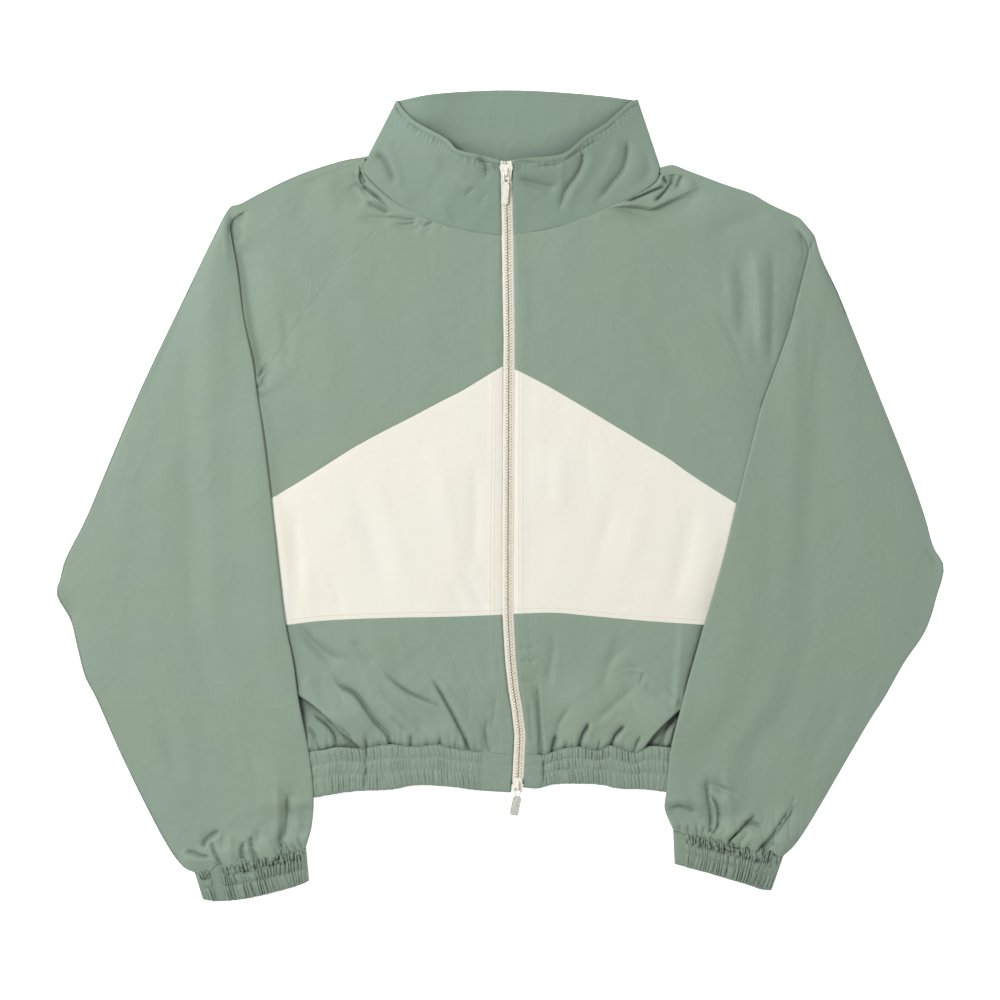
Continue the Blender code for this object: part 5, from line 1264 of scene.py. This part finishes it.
def makeCollar():
    # rows closer together towards the stitched top edge
    t = 1 - np.linspace(1, 0, collar["rows"])[:, None] ** 1.5
    n = collar["front"]
    ramp = np.linspace(0, 1, n)
    share = np.sin(pi / 2 * ramp)
    turn = np.linspace(-pi / 2, pi / 2, collar["arc"] + 2)[1:-1]
    halves = []
    for side, away in outward.items():
        foot, head = (through(outlines[edge + side.title()], n) for edge in ("neck", "top"))
        low = lay["collarFold"] + (frontZ(foot[:, 0], foot[:, 1]) - lay["collarFold"]) * share
        p = foot[None] + (head - foot)[None] * t[..., None]
        toZip = zipX(p[:, -1, 1]) + away * lay["frontEdge"] - p[:, -1, 0]
        p[..., 0] += toZip[:, None] * smooth(1 - np.arange(n)[::-1] / collar["zipBlend"])[None]
        x, y = p[..., 0], p[..., 1]
        z = low[None] + lay["collarRise"] * share[None] * leanShare(t)
        folded = relief(collar["folds"], x, y)
        folded = folded * np.where(folded > 0, collar["ridgeShare"], collar["hollowShare"])
        z = z + folded * smooth(12 * ramp)[None] + collar["crumple"] * crumple(x, y, 311)
        z += 0.35 * cloud(x, y, 16, 301) + 0.5 * cloud(x, y, 38, 302)
        high = np.linalg.norm(head - foot, axis=1)[None]
        fromTop, u = (1 - t) * high, collar["edgeRun"] * ramp[None]
        # a rolled strip along the top, held down by its row of stitches, puckers weakly below it
        held = 0.55 + 0.45 * cloud(u, 0 * u, 7, 307)
        rolled = np.clip(1 - ((fromTop - collar["rollAt"]) / collar["rollWidth"]) ** 2, 0, 1)
        z += collar["roll"] * np.sqrt(rolled)
        z -= held * np.exp(-np.abs((fromTop - collar["stitchRow"]) / collar["stitchWidth"]) ** 1.3)
        pucker = collar["pucker"] * np.exp(-((fromTop - collar["puckerAt"]) / collar["puckerReach"]) ** 2)
        wave = np.sin(pi * u / collar["puckerPitch"] + 9 * cloud(u, 0 * u, 9, 303))
        z += pucker * (1 + cloud(u, 0 * u, 12, 306)) * wave
        dip = (collar["footDip"] - 0.4 * ramp)[None] * np.exp(-(t * high / fronts["seamWidth"]) ** 2)
        z -= dip + zipRoll(x, y)[1]
        # the fold at the side, from its lower to its upper layer
        bottom, top = lay["collarBack"] + collar["foldLow"], z[:, :1]
        fold = np.stack([x[:, :1] + away * collar["foldOut"] * np.cos(turn)[None], y[:, :1] + 0 * turn[None],
                         (top + bottom) / 2 + (top - bottom) / 2 * np.sin(turn)[None]], axis=-1)
        halves.append((np.stack([x, y, z], axis=-1), fold))
    foot, head = (through(outlines[edge], collar["back"]) for edge in ("backNeck", "backTop"))
    p = foot[None] + (head - foot)[None] * t[..., None]
    x, y = p[..., 0], p[..., 1]
    u = np.linspace(0, 1, collar["back"])[None]
    z = (lay["collarBack"] + 0.25 * np.abs(cloud(x, y, 30, 304))
         + 0.5 * np.abs(cloud(x * 0.5, y, 22, 305)) * np.sin(pi * u))
    z -= 0.3 * np.exp(-(((1 - t) * collar["backHigh"] - collar["stitchRow"]) / 0.8) ** 2)
    # the side fold stands up a little inside the left corner
    z += collar["cornerRise"] * np.exp(-(u / collar["cornerAt"] - 1) ** 2) * smooth((t - 0.25) / 0.5)
    behind = np.stack([x, y, np.maximum(z, collar["wall"] / 2 + 0.02)], axis=-1)
    (left, leftFold), (right, rightFold) = halves
    grid = np.concatenate([left[:, ::-1], leftFold[:, ::-1], behind, rightFold, right], axis=1)
    layCloth("collar", grid, collar["wall"], "collar_nylon_painted_shade", "sage_nylon", flat=(0.58, 0.075),
             held="folded", rests_on=["back_panel"])


makeCollar()
print("collar made")

zipper = {
    "pitch": 2.9, "toothWide": 1.12, "toothReach": 2.5, "toothDrop": 0.75, "top": 325.0, "bottom": -286.0,
    # the tape's profile: how far from the middle, and how high there
    "tapeAt": (0.45, 1.4, 2.3, 3.0, 3.8, 5.0, 6.2, 9.0, 12.6),
    "tapeHigh": (0.4, 0.4, 0.5, 0.9, 1.0, 0.7, 0.0, 0.0, 0.0),
    "tapeDrop": 1.9, "tapeWall": 0.8, "tapeStep": 4.5, "tapeFoot": -291.5,
}


def zipFrame(y):
    # middle of the zip, its direction down the front and its up direction
    a, b = (Vector((float(zipX(q)), q, float(zipZ(q)))) for q in (y + 2.0, y - 2.0))
    along = (a - b).normalized()
    across = along.cross(Vector((0, 0, 1))).normalized()
    return Vector((float(zipX(y)), y, float(zipZ(y)))), along, across, across.cross(along)


def makeTapes():
    y = np.arange(lay["collarTopY"] - 0.5, zipper["tapeFoot"], -zipper["tapeStep"])[:, None]
    for side, away in outward.items():
        x = zipX(y) + away * np.array(zipper["tapeAt"])
        z = zipZ(y) - zipper["tapeDrop"] + np.array(zipper["tapeHigh"]) + 0.05 * np.sin(y / 3.1)
        layCloth(f"zip_tape_{side}", np.stack([x, y + 0 * x, z], axis=-1), zipper["tapeWall"],
                 "zip_tape", "zip_tape", flat=(0.0125, 0.63), held="laid",
                 rests_on=["front_upper_" + side])


def skin(bm, rings, closed=False):
    # faces from ring to ring, and over the two ends
    count = len(rings[0])
    for first, second in zip(rings, rings[1:] + rings[:1] if closed else rings[1:]):
        for j in range(count):
            k = (j + 1) % count
            bm.faces.new((first[j], first[k], second[k], second[j]))
    if not closed:
        bm.faces.new(rings[0][::-1])
        bm.faces.new(rings[-1])


def toothShape():
    # one tooth: a narrow neck at the tape and a wider head at the middle, edges broken
    bm = bmesh.new()
    half = [(-0.2, 0.62), (1.15, 0.46), (1.9, 0.5), (2.45, 0.42)]
    outline = half + [(x, -y) for x, y in half[::-1]]
    skin(bm, [[bm.verts.new((1.1 + (x - 1.1) * shrink, y * shrink * zipper["toothWide"], z))
               for x, y in outline] for z, shrink in ((-0.35, 0.9), (0.35, 1.0), (1.5, 1.0), (1.9, 0.72))])
    bmesh.ops.recalc_face_normals(bm, faces=bm.faces)
    bm.verts.index_update()
    shape = [v.co.copy() for v in bm.verts], [[v.index for v in f.verts] for f in bm.faces]
    bm.free()
    return shape


def makeTeeth():
    shape, shapeFaces = toothShape()
    verts, faces = [], []
    for k, y in enumerate(np.arange(zipper["top"], zipper["bottom"], -zipper["pitch"] / 2)):
        middle, along, across, up = zipFrame(y)
        side = 1 if k % 2 else -1
        base = len(verts)
        # the head crosses the middle a little, so that the two rows lock
        verts += [(middle + across * ((zipper["toothReach"] - p.x) * side) + along * p.y
                   + up * (p.z - zipper["toothDrop"])) * mm for p in shape]
        faces += [[base + i for i in f[::-side]] for f in shapeFaces]
    made = newObject("zip_teeth_row", verts, faces)
    made.data.shade_flat()
    finishPiece(made, "zip_teeth", "zip_chain")


makeTapes()
makeTeeth()
print("zip made")

# rows of stitching, laid on the cloth they hold
seamwork = {
    "dash": 2.1, "gap": 0.9, "wide": 0.24, "high": 0.16, "taper": 0.35,
    "fromZip": {"left": (7.8, 11.5), "right": (4.8, 9.0)}, "raglan": 3.2, "raglanRun": (14.0, 225.0),
    "collarEdge": 5.0, "block": 4.6, "cuffShare": 0.72,
    "faces": ((0, 4, 5, 1), (1, 5, 6, 2), (2, 6, 7, 3), (3, 7, 4, 0), (0, 1, 2, 3), (7, 6, 5, 4)),
}


def besideEdge(points, distance):
    # the line on a grid at a distance from its last column
    return np.array([atLength((row, lengths(row)), distance) for row in points[:, ::-1]])


def sewn(name, lines, paint):
    verts, faces = [], []
    up, low = Vector((0, 0, seamwork["high"])), Vector((0, 0, fronts["wall"] / 2 - 0.02))
    for line in lines:
        long, start = lengths(line), 1.0
        while start + seamwork["dash"] < long[-1]:
            ends = [Vector(atLength((line, long), q)) for q in (start, start + seamwork["dash"])]
            way = (ends[1] - ends[0]).normalized()
            side = way.cross(Vector((0, 0, 1))).normalized() * seamwork["wide"]
            faces += [[len(verts) + k for k in corners] for corners in seamwork["faces"]]
            for p, inward in zip(ends, (way * seamwork["taper"], way * -seamwork["taper"])):
                verts += [(q + low) * mm for q in (p - side, p + inward - side * 0.5 + up,
                                                   p + inward + side * 0.5 + up, p + side)]
            start += seamwork["dash"] + seamwork["gap"]
    finishPiece(newObject(name, verts, faces), paint)


def makeStitching():
    green, light = [], []
    rowsAt = np.array(band["rows"][1:3])
    for side in outward:
        upper, chevron, lower, hem, cuff = (grids[f"{name}_{side}"] for name in (
            "front_upper", "front_chevron", "front_lower", "hem_front", "cuff"))
        for away in seamwork["fromZip"][side]:
            green += [besideEdge(piece, away) for piece in (upper, lower, hem)]
            light.append(besideEdge(chevron, away))
        light.append(besideEdge(chevron.transpose(1, 0, 2), seamwork["block"]))
        line = besideEdge(upper[:, ::-1], seamwork["raglan"])
        first, last = seamwork["raglanRun"]
        green.append(line[(lengths(line) > first) & (lengths(line) < last)])
        green += [hem[k] for k in np.rint(rowsAt * (len(hem) - 1)).astype(int)]
        shown = int(cuff.shape[1] * seamwork["cuffShare"])
        cuffRows = (rowsAt + cuffs["hidden"]) / (1 + cuffs["hidden"]) * (len(cuff) - 1)
        green += [cuff[k, 3:shown] for k in np.rint(cuffRows).astype(int)]
    edge = besideEdge(grids["collar"].transpose(1, 0, 2), seamwork["collarEdge"])
    edge[:, 2] += (collar["wall"] - fronts["wall"]) / 2
    n = collar["front"]
    green += [edge[2:n - 2], edge[-n + 2:-2]]
    sewn("stitches_green", green, "sage_thread")
    sewn("stitches_cream", light, "cream_thread")


makeStitching()
print("stitching made")

hardware = {
    "top": {"y": 323.0, "length": 16.0, "wide": 13.0, "narrow": 8.5, "facing": 1, "drop": 2.5,
            "lean": -5.5, "reach": 21.5, "width": 6.8, "paint": "zip_metal"},
    "bottom": {"y": -290.5, "length": 14.0, "wide": 12.0, "narrow": 8.5, "facing": -1, "drop": 9.0,
               "lean": -12.0, "reach": 20.0, "width": 9.0, "paint": "zip_metal_painted_shade"},
    "plateLow": 1.2, "plateHigh": 2.8, "legAt": 3.8, "archHigh": 3.3, "archLong": 9.0, "archWide": 2.4,
    "archWall": 0.72, "pinUp": 1.6, "pinBack": 1.5, "linkWide": 5.8, "linkLong": 10.0, "linkBar": 1.3,
    "pullWall": 1.3, "stopY": 331.6, "stopAt": 4.4, "stopHigh": (-1.1, 0.6),
}


def onZip(y, up=0.0, backBy=0.0, drop=0.0):
    reach = 6.0
    slope = atan2(float(zipZ(y + reach)) - float(zipZ(y - reach)), 2 * reach)
    middle = Vector((float(zipX(y)), y, float(zipZ(y)))) * mm
    return (Matrix.Translation(middle) @ Matrix.Rotation(slope, 4, "X")
            @ Matrix.Translation(Vector((0, -backBy, up)) * mm) @ Matrix.Rotation(radians(drop), 4, "X"))


def mirrored(points):
    # the same points on the left, from the last to the first
    return [(-x, *rest) for x, *rest in points[::-1]]


def roundOutline(points, count):
    return through(points + points[:1], count + 1)[:-1]


def plate(bm, outline, low, high):
    # a slab with broken edges
    inset = min(0.35, (high - low) * 0.35)
    inward = outline.mean(axis=0) - outline
    inward /= np.linalg.norm(inward, axis=1)[:, None]
    skin(bm, [[bm.verts.new((x * mm, y * mm, z * mm)) for x, y in outline + inward * pull]
              for z, pull in ((low, inset), (low + inset, 0.0), (high - inset, 0.0), (high, inset))])


def tube(bm, path, radius, sides=8, flatten=1.0, closed=False):
    # a round bar along a path of points in mm
    rings, points = [], [Vector(p) for p in path]
    n = len(points)
    for k, p in enumerate(points):
        a = points[(k - 1) % n] if closed or k > 0 else p
        b = points[(k + 1) % n] if closed or k < n - 1 else p
        along = (b - a).normalized()
        side = along.cross(Vector((0.3, 0.2, 1))).normalized()
        up = side.cross(along)
        rings.append([bm.verts.new((p + side * radius * cos(turn) + up * radius * flatten * sin(turn)) * mm)
                      for turn in np.linspace(0, 2 * pi, sides, endpoint=False)])
    skin(bm, rings, closed)


def hardPiece(name, bm, paint="zip_metal", body="jacket"):
    bmesh.ops.recalc_face_normals(bm, faces=bm.faces)
    made = newObject(name + "_metal", [], [])
    bm.to_mesh(made.data)
    bm.free()
    made.data.shade_smooth()
    made.data.set_sharp_from_angle(angle=radians(40))
    finishPiece(made, paint, name, body)


def makeSlider(which):
    s = hardware[which]
    low, high = hardware["plateLow"], hardware["plateHigh"]
    half, wide, narrow = s["length"] / 2, s["wide"] / 2, s["narrow"] / 2
    right = [(wide * 0.86, 0), (wide, half * 0.45), (wide * 0.8, half), (wide * 0.25, half * 0.86)]
    outline = s["facing"] * roundOutline([(-narrow, -half), (0, -half - 0.4), (narrow, -half)] + right
                                         + mirrored(right), 44)
    bm = bmesh.new()
    plate(bm, outline, low, high)
    plate(bm, outline * 0.62, high - 0.1, high + 0.45)
    leg = s["length"] * 0.3
    for x in (-hardware["legAt"], hardware["legAt"]):
        tube(bm, [(x, -leg, 0.2), (x, 0, 0.1), (x, leg, 0.2)], 0.75, flatten=1.4)
    # the arch that holds the pull: a flat strap
    end, top = hardware["archLong"] / 2 - 0.3, high + hardware["archHigh"]
    rise = [(end, high + 0.1), (end, top - 1.6), (end - 1.1, top - 0.5)]
    arch = [(-y, z) for y, z in rise] + [(0, top - 0.35)] + rise[::-1]
    strap = [Vector((0, *q)) for q in through(arch, 22)]
    w, h = hardware["archWide"] / 2, hardware["archWall"] / 2
    right = [(w * 0.8, -h), (w, -h * 0.5), (w, h * 0.5), (w * 0.8, h)]
    rings = []
    for p, a, b in zip(strap, strap[:1] + strap, strap[1:] + strap[-1:]):
        up = Vector((1, 0, 0)).cross((b - a).normalized()).normalized()
        rings.append([bm.verts.new((p + Vector((x, 0, 0)) + up * z) * mm)
                      for x, z in right + mirrored(right)])
    skin(bm, rings)
    bm.transform(onZip(s["y"]))
    hardPiece(f"slider_{which}", bm)


def makePull(which):
    s = hardware[which]
    bm = bmesh.new()
    long, bar = hardware["linkLong"], hardware["linkBar"] / 2
    x, low = hardware["linkWide"] / 2 - bar, bar - long
    left = [(-x, low + 1), (-x, -1), (1 - x, 0)]
    link = roundOutline(left + mirrored(left) + [(x - 1, low), (1 - x, low)], 40)
    tube(bm, [(*q, 0) for q in link], bar, sides=10, flatten=0.9, closed=True)
    half, foot = s["width"] / 2, -s["reach"]
    right = [(half * 0.5, 0.6), (half * 0.9, -1.0), (half, -3.0), (half, foot + 2.2),
             (half * 0.94, foot + 0.9), (half * 0.6, foot + 0.15)]
    lean = Matrix.Rotation(radians(s["lean"]), 2)
    shape = mirrored(right[:1]) + right + [(0, foot)] + mirrored(right[1:])
    outline = np.array([lean @ Vector(p) for p in shape]) - (0, long)
    thick = hardware["pullWall"] / 2
    plate(bm, outline, -thick, thick)
    # a raised rim and a raised middle
    centre = outline.mean(axis=0)
    tube(bm, [(*q, thick - 0.05) for q in centre + (outline - centre) * 0.86], 0.32, sides=6, closed=True)
    plate(bm, centre + (outline - centre) * (0.42, 0.62), thick - 0.1, thick + 0.22)
    bm.transform(onZip(s["y"], hardware["plateHigh"] + hardware["pinUp"], hardware["pinBack"], s["drop"]))
    hardPiece(f"pull_{which}", bm, s["paint"], f"pull_{which}")


def makeStop(side):
    bm = bmesh.new()
    box = roundOutline([(-1.0, -1.3), (1.0, -1.3), (1.0, 1.3), (-1.0, 1.3)], 20)
    plate(bm, box + (outward[side] * hardware["stopAt"], 0), *hardware["stopHigh"])
    bm.transform(onZip(hardware["stopY"]))
    hardPiece(f"zip_stop_{side}", bm)


for end in ("top", "bottom"):
    makeSlider(end)
    makePull(end)
for half in outward:
    makeStop(half)
print("hardware made")
